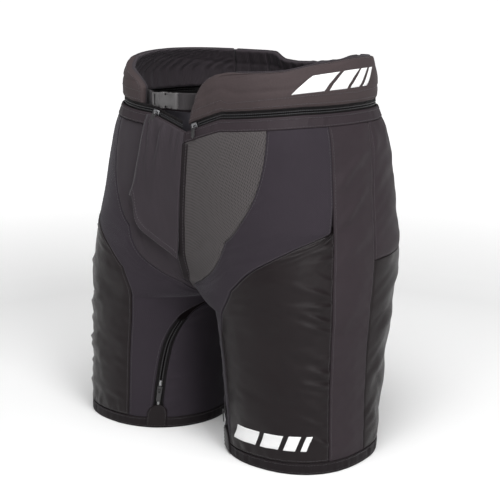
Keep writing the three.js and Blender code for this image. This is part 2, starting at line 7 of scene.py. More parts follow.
import bmesh
import bpy
import numpy as np
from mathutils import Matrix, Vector

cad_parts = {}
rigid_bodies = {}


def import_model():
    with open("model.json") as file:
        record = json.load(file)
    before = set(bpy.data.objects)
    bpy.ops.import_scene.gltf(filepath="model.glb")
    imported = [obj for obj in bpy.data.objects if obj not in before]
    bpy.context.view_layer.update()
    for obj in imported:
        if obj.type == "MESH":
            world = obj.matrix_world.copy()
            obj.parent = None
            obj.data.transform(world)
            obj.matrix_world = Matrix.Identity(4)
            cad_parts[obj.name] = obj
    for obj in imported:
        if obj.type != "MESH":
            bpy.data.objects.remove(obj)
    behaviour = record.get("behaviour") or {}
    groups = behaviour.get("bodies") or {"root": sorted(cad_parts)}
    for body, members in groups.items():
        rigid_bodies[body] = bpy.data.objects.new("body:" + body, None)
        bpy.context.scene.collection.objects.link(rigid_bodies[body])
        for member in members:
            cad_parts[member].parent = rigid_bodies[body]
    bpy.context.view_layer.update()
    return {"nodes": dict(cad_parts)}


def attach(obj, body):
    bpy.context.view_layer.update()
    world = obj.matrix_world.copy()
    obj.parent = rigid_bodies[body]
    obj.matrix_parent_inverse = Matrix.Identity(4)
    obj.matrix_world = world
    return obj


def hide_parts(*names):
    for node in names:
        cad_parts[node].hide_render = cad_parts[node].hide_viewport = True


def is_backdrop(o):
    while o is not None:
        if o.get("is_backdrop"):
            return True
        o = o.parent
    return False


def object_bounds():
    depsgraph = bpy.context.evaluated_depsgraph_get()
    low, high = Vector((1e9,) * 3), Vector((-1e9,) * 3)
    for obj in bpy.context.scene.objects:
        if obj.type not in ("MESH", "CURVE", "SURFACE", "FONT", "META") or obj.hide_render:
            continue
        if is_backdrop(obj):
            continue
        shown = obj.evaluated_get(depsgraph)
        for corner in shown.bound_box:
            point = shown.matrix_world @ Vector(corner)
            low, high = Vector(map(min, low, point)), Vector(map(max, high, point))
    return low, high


for spare in list(bpy.data.objects):
    bpy.data.objects.remove(spare)
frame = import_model()
scene = bpy.context.scene
print("frame loaded,", len(frame["nodes"]), "nodes")

# the body's surface

shell = dict(  # the CAD's own driving sizes
    hemGap=0.048, hemWidth=0.181, hemDepth=0.178, hemForward=0.042, hemHeight=0.014,
    thighWidth=0.193, thighDepth=0.202, crotchHeight=0.178, crotchReach=0.200,
    hipHeight=0.245, hipReach=0.194, hipDepth=0.268, bellyReach=0.183, bellyDepth=0.258,
    waistHeight=0.412, waistReach=0.1605, waistDepth=0.233, waistDrop=0.026, bandHeight=0.014,
    setBack=0.0056601,  # how far the CAD moved itself back to centre its box
)
belt = dict(
    lift=0.008, front=0.044, kidney=0.060, dip=0.045, bulge=0.003, lean=0.006,
    inside=0.0103,  # cover, foam and lining together
    wingJoin=0.72, rightEnd=-0.92, leftEnd=-1.92,
)

crotch, waist = shell["crotchHeight"], shell["waistHeight"]
hip = shell["hipHeight"]


def mix(a, b, t):
    return a + (b - a) * t


def smooth(low, high, x):
    t = np.clip((x - low) / (high - low), 0, 1)
    return t * t * (3 - 2 * t)


def through(stations):
    # a smooth line through (position, value) stations that never overshoots them
    xs, ys = (np.array(c, float) for c in zip(*stations))
    rise = np.diff(ys) / np.diff(xs)
    slopes = np.concatenate([rise[:1], np.zeros(len(xs) - 2), rise[-1:]])
    both, total = rise[:-1] * rise[1:], rise[:-1] + rise[1:]
    slopes[1:-1] = np.where(both > 0, 2 * both / np.where(both > 0, total, 1), 0)

    def line(x):
        x = np.asarray(x, float)
        i = np.clip(np.searchsorted(xs, x, side="right") - 1, 0, len(xs) - 2)
        h = xs[i + 1] - xs[i]
        t = np.clip((x - xs[i]) / h, 0, 1)
        return (ys[i] * (1 + 2 * t) * (1 - t) ** 2 + slopes[i] * h * t * (1 - t) ** 2
                + ys[i + 1] * t * t * (3 - 2 * t) + slopes[i + 1] * h * t * t * (t - 1))

    return line


thigh = crotch * 0.48
belly = mix(hip, waist, 0.45)
flank = mix(belly, waist, 0.65)
flankReach = mix(shell["bellyReach"], shell["waistReach"], 0.48)
frontRoll, backRoll = crotch + 0.038, crotch + 0.046
outline = 2 / 2.35
reach = through([
    (0, shell["hemGap"] / 2 + shell["hemWidth"]), (thigh, shell["crotchReach"] + 0.002),
    (crotch, shell["crotchReach"]), (hip, shell["hipReach"]), (belly, shell["bellyReach"]),
    (flank, flankReach), (waist, shell["waistReach"])])
halfWidth = through([
    (0, shell["hemWidth"] / 2), (thigh, shell["thighWidth"] / 2),
    (crotch, shell["thighWidth"] / 2 + 0.009), (hip, shell["hipReach"] * 0.588),
    (belly, shell["bellyReach"] * 0.64), (flank, flankReach * 0.663),
    (waist, shell["waistReach"] * 0.663)])
halfDepth = through([
    (0, shell["hemDepth"] / 2), (thigh, shell["thighDepth"] / 2),
    (crotch, mix(shell["thighDepth"], shell["hipDepth"], 0.5) / 2), (hip, shell["hipDepth"] / 2),
    (belly, shell["bellyDepth"] / 2), (flank, mix(shell["bellyDepth"], shell["waistDepth"], 0.5) / 2),
    (waist, shell["waistDepth"] / 2)])
forward = shell["hemForward"]
middle = through([
    (0, -forward), (thigh, -forward * 0.8), (crotch, -forward * 0.48), (hip, -forward * 0.14),
    (belly, -0.002), (waist, 0)])
frontHollow = through([(frontRoll, 0.022), (hip, 0.013), (belly, 0.006), (waist, 0.004)])
backHollow = through([(backRoll, 0.016), (hip + 0.012, 0.006), (belly, 0.002), (waist, 0.002)])


def innerLine(z, back):
    # the innermost line of a leg: the centre line above the crotch, the inner thigh below it
    y = middle(z)
    share = np.clip((crotch - z) / crotch, None, 1)
    x = shell["hemGap"] / 2 * np.sqrt(np.clip(1 - (1 - share) ** 2.2, 0, None))

    def centre(h):
        return np.where(back, middle(h) + halfDepth(h) - backHollow(h),
                        middle(h) - halfDepth(h) + frontHollow(h))

    roll = np.where(back, backRoll, frontRoll)
    s = np.clip((z - crotch) / (roll - crotch), 0, 1)
    rolled = y + (centre(roll) - y) * np.sqrt(1 - (1 - s) ** 2)
    return x, np.where(z >= roll, centre(z), rolled)


def section(u, z):
    half, deep, mid = halfWidth(z), halfDepth(z), middle(z)
    x = reach(z) - half
    c, s = np.cos(u * np.pi / 2), np.sin(u * np.pi / 2)
    roundX = x + half * np.abs(c) ** outline
    roundY = mid + deep * np.sign(s) * np.abs(s) ** outline
    back = u > 0
    t = np.clip(np.abs(u) - 1, 0, 1)
    y = mid + np.where(back, deep, -deep)
    innerX, innerY = innerLine(z, back)
    bow = (mix(innerX, x, 1 - np.sin(t * np.pi / 2)), mix(innerY, y, np.cos(t * np.pi / 2)))
    wave = (mix(x, innerX, t), mix(y, innerY, (1 - np.cos(t * np.pi)) / 2))
    blend = smooth(crotch - 0.01, np.where(back, backRoll, frontRoll) + 0.025, z)
    outer = np.abs(u) <= 1
    px = np.where(outer, roundX, mix(bow[0], wave[0], blend))
    py = np.where(outer, roundY, mix(bow[1], wave[1], blend))
    return np.stack([px, py + shell["setBack"], z + 0 * px], -1)


def clothPoint(u, v):
    u, v = np.broadcast_arrays(np.asarray(u, float), np.asarray(v, float))
    turn = np.clip((-u - 0.4) / 1.6, 0, 1) ** 1.3
    return section(u, v - shell["waistDrop"] * turn * smooth(waist - 0.112, waist, v))


def unit(vectors):
    return vectors / np.maximum(np.linalg.norm(vectors, axis=-1, keepdims=True), 1e-12)


def outward(u, v, level=False):
    along = clothPoint(np.minimum(2, u + 0.01), v) - clothPoint(np.maximum(-2, u - 0.01), v)
    up = clothPoint(u, v + 0.001) - clothPoint(u, v - 0.001)
    normal = unit(np.cross(along, up))
    if level:
        normal[..., 2] = 0
        normal = unit(normal)
    return normal


beltTop = through([
    (-2, waist + belt["front"] - 0.004), (-1.3, waist + belt["front"]),
    (-0.6, waist + belt["front"] + 0.004), (-0.25, waist + belt["kidney"] - 0.004),
    (0.1, waist + belt["kidney"]), (0.9, waist + belt["kidney"] - 0.003),
    (1.3, waist + belt["kidney"] - 0.004), (1.65, waist + belt["dip"] + 0.002), (2, waist + belt["dip"])])


def beltPoint(u, w, depth):
    # w runs from the belt's lower edge, 0, to its top, 1
    edge = clothPoint(u, waist)
    normal = outward(u, waist, level=True)
    out = belt["bulge"] * np.sin(np.pi * w) - belt["lean"] * w - 0.0015 - depth
    point = edge + normal * out[..., None]
    point[..., 2] = mix(edge[..., 2] + belt["lift"], beltTop(u), w)
    return point


hemTop, bandFoot = shell["hemHeight"], waist - shell["bandHeight"]
yokeHeight = hip + 0.035
seatFoot = mix(crotch, yokeHeight, 0.6)
sideFrontSeam = through([(0, -0.33), (crotch, -0.31), (yokeHeight, -0.28), (waist, -0.24)])
sideRearSeam = through([(0, 0.03), (crotch, 0.0), (yokeHeight, 0.01), (waist, 0.08)])
backInnerSeam = through([(0, 1.3), (crotch * 0.6, 1.36), (crotch - 0.012, 1.7), (crotch, 2)])
zipSeam = through([(0, -1.4), (crotch * 0.6, -1.48), (crotch * 0.85, -1.61), (crotch, -1.9)])
flySeam = through([
    (crotch, -1.9), (mix(crotch, yokeHeight, 0.2), -1.85), (mix(crotch, yokeHeight, 0.35), -1.56),
    (mix(crotch, yokeHeight, 0.58), -1.23), (mix(crotch, yokeHeight, 0.82), -1.03),
    (yokeHeight + 0.014, -0.885), (yokeHeight + 0.046, -0.785), (yokeHeight + 0.082, -0.725), (waist, -0.68)])
zipHalf = 0.045


def thighSeamTo(inner):
    return through([
        (0, -inner), (crotch * 0.8, -inner), (crotch + 0.006, -mix(inner, 1.1, 0.7)),
        (mix(crotch, yokeHeight, 0.3), -1.02), (mix(crotch, yokeHeight, 0.57), -0.86),
        (mix(crotch, yokeHeight, 0.84), -0.56), (yokeHeight, -0.3)])


thighSeams = {"left": thighSeamTo(1.31), "right": thighSeamTo(1.14)}


def yokeInner(v):
    low = zipSeam(v) + zipHalf * (1 - smooth(crotch - 0.03, crotch, v))
    return np.where(v < crotch, low, flySeam(v))


# meshes

def meshPiece(name, points, faces, uv=None, materials=(), faceMaterial=None):
    mesh = bpy.data.meshes.new(name)
    mesh.from_pydata(points.reshape(-1, 3).tolist(), [], faces.tolist())
    if uv is not None:
        corner = np.zeros(len(mesh.loops), np.int32)
        mesh.loops.foreach_get("vertex_index", corner)
        layer = mesh.uv_layers.new(name="Cloth")
        layer.data.foreach_set("uv", uv.reshape(-1, 2)[corner].astype(np.float32).ravel())
    for material in materials:
        mesh.materials.append(material)
    if faceMaterial is not None:
        mesh.polygons.foreach_set("material_index", faceMaterial.astype(np.int32))
    mesh.polygons.foreach_set("use_smooth", np.ones(len(mesh.polygons), bool))
    mesh.update()
    piece = bpy.data.objects.new(name, mesh)
    scene.collection.objects.link(piece)
    return piece


def closedPlate(name, outer, inner, uv, materials, flip=False, wrap=False, backMaterial=None):
    # two skins on the same grid, closed along their edges; wrap joins the last column to the first
    rows, columns = outer.shape[:2]
    index = np.arange(rows * columns).reshape(rows, columns)
    total = rows * columns

    def quads(a, b, c, d):
        return np.stack([a.ravel(), b.ravel(), c.ravel(), d.ravel()], -1)

    near, far = (index, np.roll(index, -1, 1)) if wrap else (index[:, :-1], index[:, 1:])
    front = quads(near[:-1], far[:-1], far[1:], near[1:])
    parts = [front, front[:, ::-1] + total]
    foot, top = (near[0], far[0]), (near[-1], far[-1])
    parts.append(quads(foot[0], foot[0] + total, foot[1] + total, foot[1]))
    parts.append(quads(top[0], top[1], top[1] + total, top[0] + total))
    if not wrap:
        a, b = index[:-1, 0], index[1:, 0]
        parts.append(quads(a, b, b + total, a + total))
        a, b = index[:-1, -1], index[1:, -1]
        parts.append(quads(a, a + total, b + total, b))
    faces = np.concatenate(parts)
    if flip:
        faces = faces[:, ::-1]
    kinds = np.zeros(len(faces), int)
    if backMaterial is not None:
        kinds[len(front):2 * len(front)] = backMaterial
    points = np.concatenate([outer.reshape(-1, 3), inner.reshape(-1, 3)])
    return meshPiece(name, points, faces, np.concatenate([uv.reshape(-1, 2)] * 2), materials, kinds)


def edgeSpaced(length, step, near=(0.0005, 0.0012, 0.0024)):
    # 0 to 1, with closer steps at both ends where a seam rolls in
    n = max(4, int(round(length / step)))
    even = np.linspace(0, 1, n + 1)
    close = np.array(near) / length
    inside = even[(even > close[-1] * 1.6) & (even < 1 - close[-1] * 1.6)]
    return np.concatenate([[0], close, inside, 1 - close[::-1], [1]])


class Grid:
    # points of a surface over s across and t up, with arc lengths x and y along it
    def __init__(self, place, width, height, step, across=None):
        self.s = edgeSpaced(width, step) if across is None else across
        self.t = edgeSpaced(height, step)
        self.lay(place)

    def lay(self, place):
        # again after s or t has changed
        self.sAll, self.tAll = np.meshgrid(self.s, self.t)
        self.points, self.normals = place(self.sAll, self.tAll)
        self.x, self.w = self.arc(1)
        self.y, self.h = self.arc(0)

    def arc(self, axis):
        step = np.linalg.norm(np.diff(self.points, axis=axis), axis=-1)
        pad = [(0, 0), (0, 0)]
        pad[axis] = (1, 0)
        run = np.pad(np.cumsum(step, axis=axis), pad)
        return run, np.take(run, [-1], axis=axis) + 0 * run

    def edge(self, name):
        # (distance along an edge, distance in from it)
        return {"left": (self.y, self.x), "right": (self.y, self.w - self.x),
                "foot": (self.x, self.y), "top": (self.x, self.h - self.y)}[name]

    def inside(self):
        return np.minimum(np.minimum(self.x, self.w - self.x), np.minimum(self.y, self.h - self.y))

    def area(self):
        a = self.points[1:, 1:] - self.points[:-1, :-1]
        b = self.points[1:, :-1] - self.points[:-1, 1:]
        return float(np.linalg.norm(np.cross(a, b), axis=-1).sum() / 2)


def rolled(distance, radius):
    # how far a face drops as it turns over an edge
    q = np.clip(1 - distance / radius, 0, 1)
    return radius * (1 - np.sqrt(np.clip(1 - q * q, 0, 1)))


# folds in cloth

def puckers(grid, rng, edge, count, height, width, length, skew=0.0, span=(0, 1)):
    # short gathers that start at a seam and die out into the panel
    along, away = grid.edge(edge)
    relief = np.zeros_like(along)
    run = along.max()
    centres = run * (span[0] + (span[1] - span[0]) * (np.arange(count) + 0.5) / count)
    for centre in centres + rng.uniform(-0.35, 0.35, count) * run * (span[1] - span[0]) / count:
        tall = height * rng.uniform(0.35, 1.25)
        thin = width * rng.uniform(0.7, 1.3)
        long = length * rng.uniform(0.5, 1.5)
        lean = skew + rng.uniform(-0.25, 0.25)
        q = (along - centre - lean * away) / (thin * (1 + 0.5 * away / long))
        fade = away / (0.3 * long) * np.exp(1 - away / (0.3 * long))
        relief += tall * fade * (np.exp(-q * q) - 0.45 * np.exp(-((q - 1.5) ** 2)))
    return relief


def folds(grid, lines):
    # long soft ridges with a valley beside them; each is (s, t) to (s, t), width and height
    x, y = grid.sAll * grid.w.mean(), grid.tAll * grid.h.mean()
    relief = np.zeros_like(x)
    for (s0, t0), (s1, t1), width, height, bend in lines:
        a = np.array([s0 * grid.w.mean(), t0 * grid.h.mean()])
        b = np.array([s1 * grid.w.mean(), t1 * grid.h.mean()])
        d = b - a
        long = math.hypot(*d)
        d /= long
        p = (x - a[0]) * d[0] + (y - a[1]) * d[1]
        share = np.clip(p / long, 0, 1)
        q = ((x - a[0]) * -d[1] + (y - a[1]) * d[0] - bend * long * np.sin(np.pi * share)) / width
        fade = np.sin(np.pi * np.clip(share, 0.0, 1)) ** 0.7
        relief += height * fade * (np.exp(-q * q) - 0.55 * np.exp(-((q + 1.6) ** 2) / 1.4))
    return relief


def ripple(x, y, rng, height, wave, angle, scatter=0.5, count=14):
    # a broad uneven swell; angle is the direction across its crests
    total = np.zeros_like(x)
    for turn, scale, phase in zip(rng.normal(angle, scatter, count), rng.uniform(0.6, 1.7, count),
                                  rng.uniform(0, 2 * np.pi, count)):
        k = 2 * np.pi / (wave * scale)
        total += np.cos(k * (x * math.cos(turn) + y * math.sin(turn)) + phase)
    return height * total / math.sqrt(count)


simulation = dict(cell=0.0065, frames=16, quality=5)


def relax(name, grid, slack, pressure, stiffness=12, bending=0.6, cap=0.004):
    # cloth pinned at its seams and cut a little too large; returns how far it stands out
    across = max(6, int(grid.w.mean() / simulation["cell"]))
    up = max(6, int(grid.h.mean() / simulation["cell"]))
    columns = np.searchsorted(grid.s, np.linspace(0, 1, across + 1)).clip(0, len(grid.s) - 1)
    rows = np.searchsorted(grid.t, np.linspace(0, 1, up + 1)).clip(0, len(grid.t) - 1)
    start = grid.points[np.ix_(rows, columns)]
    normal = grid.normals[np.ix_(rows, columns)]
    rng = np.random.default_rng(len(name) + across * up)
    seeded = start + normal * rng.uniform(-0.0004, 0.0004, start.shape[:2])[..., None]
    index = np.arange(start[..., 0].size).reshape(start.shape[:2])
    faces = np.stack([index[:-1, :-1], index[:-1, 1:], index[1:, 1:], index[1:, :-1]], -1).reshape(-1, 4)
    sheet = meshPiece(name + "_cut", seeded, faces)
    pinned = np.ones(index.shape, bool)
    pinned[1:-1, 1:-1] = False
    group = sheet.vertex_groups.new(name="seam")
    group.add(index[pinned].tolist(), 1.0, "REPLACE")
    cloth = sheet.modifiers.new("cloth", "CLOTH")
    settings = cloth.settings
    settings.quality = simulation["quality"]
    settings.mass = 0.15
    settings.tension_stiffness = settings.compression_stiffness = stiffness
    settings.shear_stiffness = stiffness / 2
    settings.bending_stiffness = bending
    settings.vertex_group_mass = "seam"
    settings.shrink_min = -slack
    settings.use_pressure = True
    settings.uniform_pressure_force = pressure
    settings.effector_weights.gravity = 0
    cloth.collision_settings.use_collision = False
    cloth.point_cache.frame_start, cloth.point_cache.frame_end = 1, simulation["frames"]
    for step in range(1, simulation["frames"] + 1):
        scene.frame_set(step)
    evaluated = sheet.evaluated_get(bpy.context.evaluated_depsgraph_get())
    found = np.zeros(start.size, np.float32)
    evaluated.data.vertices.foreach_get("co", found)
    bpy.data.objects.remove(sheet)
    scene.frame_set(1)
    out = ((found.reshape(start.shape) - start) * normal).sum(-1)
    out = np.clip(np.nan_to_num(out), -cap * 0.3, cap)
    wide = np.stack([np.interp(grid.s, grid.s[columns], row) for row in out])
    full = np.stack([np.interp(grid.t, grid.t[rows], column) for column in wide.T]).T
    for _ in range(3):
        full[1:-1, 1:-1] = (full[1:-1, 1:-1] * 2 + full[:-2, 1:-1] + full[2:, 1:-1]
                            + full[1:-1, :-2] + full[1:-1, 2:]) / 6
    return full


# materials

def nodeTree(name, base, roughness, **shader):
    material = bpy.data.materials.new(name)
    material.use_nodes = True
    tree = material.node_tree
    bsdf = tree.nodes["Principled BSDF"]
    bsdf.inputs["Base Color"].default_value = (*base, 1)
    bsdf.inputs["Roughness"].default_value = roughness
    for socket, value in shader.items():
        label = socket.replace("_", " ")
        bsdf.inputs[label].default_value = value
    return material, tree, bsdf


def add(tree, kind, inputs=(), **settings):
    node = tree.nodes.new(kind)
    for key, value in settings.items():
        setattr(node, key, value)
    for key, value in dict(inputs).items():
        if isinstance(value, bpy.types.NodeSocket):
            tree.links.new(value, node.inputs[key])
        else:
            node.inputs[key].default_value = value
    return node


def maths(tree, operation, a, b=0.0, clamp=False):
    return add(tree, "ShaderNodeMath", {0: a, 1: b}, operation=operation, use_clamp=clamp).outputs[0]


def stripes(tree, place, pitch, angle=0.0):
    # a sine of the given pitch in metres across a direction of the cloth
    turned = add(tree, "ShaderNodeMapping", {"Vector": place, "Rotation": (0, 0, angle)})
    wave = add(tree, "ShaderNodeTexWave", {"Vector": turned.outputs[0], "Scale": 0.314159 / pitch})
    return wave.outputs["Fac"]


def clothMaterial(name, look):
    material, tree, bsdf = nodeTree(
        name, look["colour"], look["roughness"], Sheen_Weight=look.get("sheen", 0.3),
        Sheen_Roughness=look.get("sheenRoughness", 0.4), Specular_IOR_Level=look.get("gloss", 0.35))
    bsdf.inputs["Sheen Tint"].default_value = (*look.get("sheenTint", (0.8, 0.8, 0.85)), 1)
    cloth = add(tree, "ShaderNodeUVMap", uv_map="Cloth").outputs[0]
    place = add(tree, "ShaderNodeTexCoord").outputs["Object"]
    kind, pitch = look["weave"], look["pitch"]
    if kind == "plain":  # threads over and under
        height = maths(tree, "MULTIPLY", stripes(tree, cloth, pitch), stripes(tree, cloth, pitch, math.pi / 2))
    elif kind == "twill":
        cross = stripes(tree, cloth, pitch * 0.5, math.pi / 2)
        height = maths(tree, "MULTIPLY", stripes(tree, cloth, pitch, 0.6), cross)
    elif kind == "rib":
        cross = stripes(tree, cloth, pitch * 0.7, math.pi / 2)
        height = maths(tree, "ADD", stripes(tree, cloth, pitch), maths(tree, "MULTIPLY", cross, 0.3))
    elif kind == "mesh":  # rows of small diamond holes
        height = maths(tree, "MAXIMUM", stripes(tree, cloth, pitch, 0.3), stripes(tree, cloth, pitch, -0.3))
        height = maths(tree, "POWER", height, 1.6)
    else:  # brushed
        height = add(tree, "ShaderNodeTexNoise", {"Vector": place, "Scale": 0.6 / pitch, "Detail": 3.0}).outputs[0]
    patches = add(tree, "ShaderNodeTexNoise", {"Vector": place, "Scale": 14.0, "Detail": 4.0}).outputs[0]
    fibres = add(tree, "ShaderNodeTexNoise", {"Vector": place, "Scale": 1400.0, "Detail": 2.0}).outputs[0]
    shade = maths(tree, "MULTIPLY", height, look.get("contrast", 0.25))
    shade = maths(tree, "ADD", shade, maths(tree, "MULTIPLY", patches, look.get("patchy", 0.3)))
    shade = maths(tree, "ADD", shade, maths(tree, "MULTIPLY", fibres, 0.12), clamp=True)
    ramp = add(tree, "ShaderNodeValToRGB", {"Fac": shade})
    colour = np.array(look["colour"])
    ramp.color_ramp.elements[0].color = (*(colour * look.get("low", 0.7)), 1)
    ramp.color_ramp.elements[1].color = (*(colour * look.get("high", 1.5)), 1)
    ramp.color_ramp.elements[1].position = look.get("spread", 0.75)
    tree.links.new(ramp.outputs[0], bsdf.inputs["Base Color"])
    rough = add(tree, "ShaderNodeMapRange", {"Value": patches, "To Min": look["roughness"] - 0.07,
                                             "To Max": look["roughness"] + 0.07})
    tree.links.new(rough.outputs[0], bsdf.inputs["Roughness"])
    rise = maths(tree, "ADD", height, maths(tree, "MULTIPLY", fibres, 0.4))
    bump = add(tree, "ShaderNodeBump", {"Height": rise, "Strength": look.get("bump", 0.5),
                                        "Distance": look.get("relief", 0.00025)})
    tree.links.new(bump.outputs[0], bsdf.inputs["Normal"])
    return material


def mouldedMaterial(name, look):
    material, tree, bsdf = nodeTree(name, look["colour"], look["roughness"],
                                    Metallic=look.get("metal", 0.0), Specular_IOR_Level=look.get("gloss", 0.5))
    place = add(tree, "ShaderNodeTexCoord").outputs["Object"]
    grain = add(tree, "ShaderNodeTexNoise", {"Vector": place, "Scale": look["grain"], "Detail": 4.0}).outputs[0]
    patches = add(tree, "ShaderNodeTexNoise", {"Vector": place, "Scale": 160.0, "Detail": 3.0}).outputs[0]
    # painted highlight: the base colour is lightened along convex edges, where light catches them
    edgeHighlightMask = add(tree, "ShaderNodeNewGeometry").outputs["Pointiness"]
    edge = add(tree, "ShaderNodeMapRange", {"Value": edgeHighlightMask, "From Min": 0.5, "From Max": 0.6,
                                            "To Max": look.get("wear", 0.4)}).outputs[0]
    shade = maths(tree, "ADD", maths(tree, "MULTIPLY", patches, 0.6), edge, clamp=True)
    colour = np.array(look["colour"])
    ramp = add(tree, "ShaderNodeValToRGB", {"Fac": shade})
    ramp.color_ramp.elements[0].color = (*(colour * 0.75), 1)
    ramp.color_ramp.elements[1].color = (*(colour * 1.35), 1)
    tree.links.new(ramp.outputs[0], bsdf.inputs["Base Color"])
    rough = add(tree, "ShaderNodeMapRange", {"Value": patches, "To Min": look["roughness"] - 0.1,
                                             "To Max": look["roughness"] + 0.12})
    tree.links.new(rough.outputs[0], bsdf.inputs["Roughness"])
    bump = add(tree, "ShaderNodeBump", {"Height": grain, "Strength": 0.35, "Distance": look["relief"]})
    tree.links.new(bump.outputs[0], bsdf.inputs["Normal"])
    return material


cloths = {
    "thigh_nylon": dict(colour=(0.0100, 0.0072, 0.0080), roughness=0.36, weave="plain", pitch=0.0007, gloss=0.15,
                        sheen=0.0, patchy=0.35, bump=0.3),
    "side_nylon": dict(colour=(0.0290, 0.0225, 0.0262), roughness=0.54, weave="twill", pitch=0.0011, gloss=0.09,
                       sheen=0.0, patchy=0.3, bump=0.3),
    "stretch_knit": dict(colour=(0.0265, 0.0218, 0.0275), roughness=0.78, weave="twill", pitch=0.0021, gloss=0.08,
                         sheen=0.12, contrast=0.4, bump=0.5, relief=0.0003),
    "shield_mesh": dict(colour=(0.0400, 0.0362, 0.0366), roughness=0.7, weave="mesh", pitch=0.0021, gloss=0.12,
                        sheen=0.04, contrast=1.0, low=0.15, high=1.9, spread=0.95, bump=0.7, relief=0.0005),
    "fly_woven": dict(colour=(0.0250, 0.0205, 0.0242), roughness=0.64, weave="rib", pitch=0.0018, gloss=0.12,
                      sheen=0.08, contrast=0.4, bump=0.4),
    "hem_fabric": dict(colour=(0.0120, 0.0092, 0.0104), roughness=0.6, weave="plain", pitch=0.0009, gloss=0.10,
                       sheen=0.05),
    "belt_cover": dict(colour=(0.044, 0.0340, 0.0350), roughness=0.68, weave="brushed", pitch=0.0012, gloss=0.08,
                       sheen=0.02, sheenTint=(0.9, 0.82, 0.82), contrast=0.35, bump=0.3),
    "belt_lining": dict(colour=(0.026, 0.0215, 0.0250), roughness=0.85, weave="rib", pitch=0.0022, gloss=0.15,
                        sheen=0.12, contrast=0.5, bump=0.6, relief=0.0004),
    "webbing": dict(colour=(0.022, 0.0195, 0.0208), roughness=0.7, weave="rib", pitch=0.0016, gloss=0.25,
                    sheen=0.1, contrast=0.9, low=0.5, bump=0.8, relief=0.0004),
    "zip_tape": dict(colour=(0.009, 0.008, 0.0085), roughness=0.75, weave="plain", pitch=0.0010, gloss=0.1,
                     sheen=0.0),
    "underlay_knit": dict(colour=(0.032, 0.029, 0.036), roughness=0.8, weave="twill", pitch=0.0016, gloss=0.2,
                          sheen=0.3),
    "thread": dict(colour=(0.034, 0.029, 0.032), roughness=0.6, weave="brushed", pitch=0.0006, gloss=0.4),
    "print_white": dict(colour=(0.80, 0.80, 0.80), roughness=0.55, weave="brushed", pitch=0.0010, low=0.85,
                        high=1.12, gloss=0.35, sheen=0.0, bump=0.25),
}
moulds = {
    "buckle_plastic": dict(colour=(0.075, 0.072, 0.073), roughness=0.46, grain=2600.0, relief=0.00012),
    "pad_cap": dict(colour=(0.012, 0.012, 0.013), roughness=0.4, grain=1800.0, relief=0.0002),
    "foam": dict(colour=(0.020, 0.019, 0.021), roughness=0.95, grain=900.0, relief=0.0008, gloss=0.15),
    "zip_metal": dict(colour=(0.26, 0.26, 0.27), roughness=0.30, grain=1500.0, relief=0.00008, metal=1.0),
    "zip_teeth": dict(colour=(0.020, 0.020, 0.022), roughness=0.4, grain=1500.0, relief=0.00008),
    "dark_metal": dict(colour=(0.022, 0.021, 0.022), roughness=0.42, grain=1500.0, relief=0.00008),
}
paint = {name: clothMaterial(name, look) for name, look in cloths.items()}
paint.update({name: mouldedMaterial(name, look) for name, look in moulds.items()})
print("materials made,", len(paint))


# shell panels

skins = {}  # finished outer faces by piece, for stitching and prints
stitchLines = {"thread": []}


def settle(piece, body="pants", nodes=()):
    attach(piece, body)
    if nodes:
        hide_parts(*nodes)
    return piece


def surfacePlace(side, fromSeam, toSeam, low, high, level=False):
    sign = 1 if side == "left" else -1

    def place(s, t):
        v = mix(low, high, t)
        u = mix(fromSeam(v), toSeam(v), s)
        u = np.where(u < -2, u + 4, u)
        flipX = np.array([sign, 1, 1])
        return clothPoint(u, v) * flipX, outward(u, v, level) * flipX

    return place


def panel(name, side, seams, low, high, look, node=None):
    # look: size for the grid, relief settings, cloth
    grid = Grid(surfacePlace(side, *seams, low, high), look["width"], high - low, look.get("step", 0.0022))
    rng = np.random.default_rng(look["seed"])
    relief = look.get("puff", 0.0006) * (1 - np.exp(-grid.inside() / 0.01))
    relief += ripple(grid.x, grid.y, rng, look.get("swell", 0.0003), look.get("wave", 0.05),
                     look.get("swellAngle", 1.3)) * (1 - np.exp(-grid.inside() / 0.012))
    for line in look.get("puckers", ()):
        relief += puckers(grid, rng, **line)
    relief += folds(grid, look.get("folds", ()))
    if "slack" in look:
        relief += relax(name, grid, look["slack"], look.get("pressure", 0.6))
    for sink in look.get("sinks", ()):
        relief += sink(grid)
    relief = np.clip(relief, -look.get("inward", 0.0009), 0.008)
    sides = np.minimum(grid.x, grid.w - grid.x)
    relief -= np.maximum(rolled(sides, 0.0013), rolled(np.minimum(grid.y, grid.h - grid.y), 0.0007))
    relief += look.get("proud", 0)
    outer = grid.points + grid.normals * relief[..., None]
    thick = look.get("thick", 0.0013)
    inner = grid.points + grid.normals * (np.minimum(relief, look.get("proud", 0) + 0.001) - thick)[..., None]
    uv = np.stack([grid.x - grid.w / 2, grid.y], -1)
    piece = closedPlate(name + "_cloth", outer, inner, uv, [paint[look["cloth"]]], flip=side == "right")
    settle(piece, nodes=[node or name])
    skins[name] = (grid, outer)
    return piece


def lineOn(name, edge, inset, lift=0.0001, span=(0, 1)):
    # a line on a finished face, at a distance in from one of its edges, with its normals
    grid, outer = skins[name]
    upright = edge in ("left", "right")
    away = grid.edge(edge)[1]
    points, normals = [], []
    count = outer.shape[0] if upright else outer.shape[1]
    share = grid.t if upright else grid.s
    for k in range(count):
        if not span[0] <= share[k] <= span[1]:
            continue
        cut = (k, slice(None)) if upright else (slice(None), k)
        order = np.argsort(away[cut])
        if away[cut].max() < inset * 2:
            continue
        points.append([np.interp(inset, away[cut][order], outer[cut][order][:, c]) for c in range(3)])
        normals.append([np.interp(inset, away[cut][order], grid.normals[cut][order][:, c]) for c in range(3)])
    points, normals = np.array(points), unit(np.array(normals))
    return points + normals * lift, normals


def stitch(name, edge, inset=0.0028, span=(0.01, 0.99)):
    line = lineOn(name, edge, inset, span=span)
    if len(line[0]) > 2:
        stitchLines["thread"].append(line)


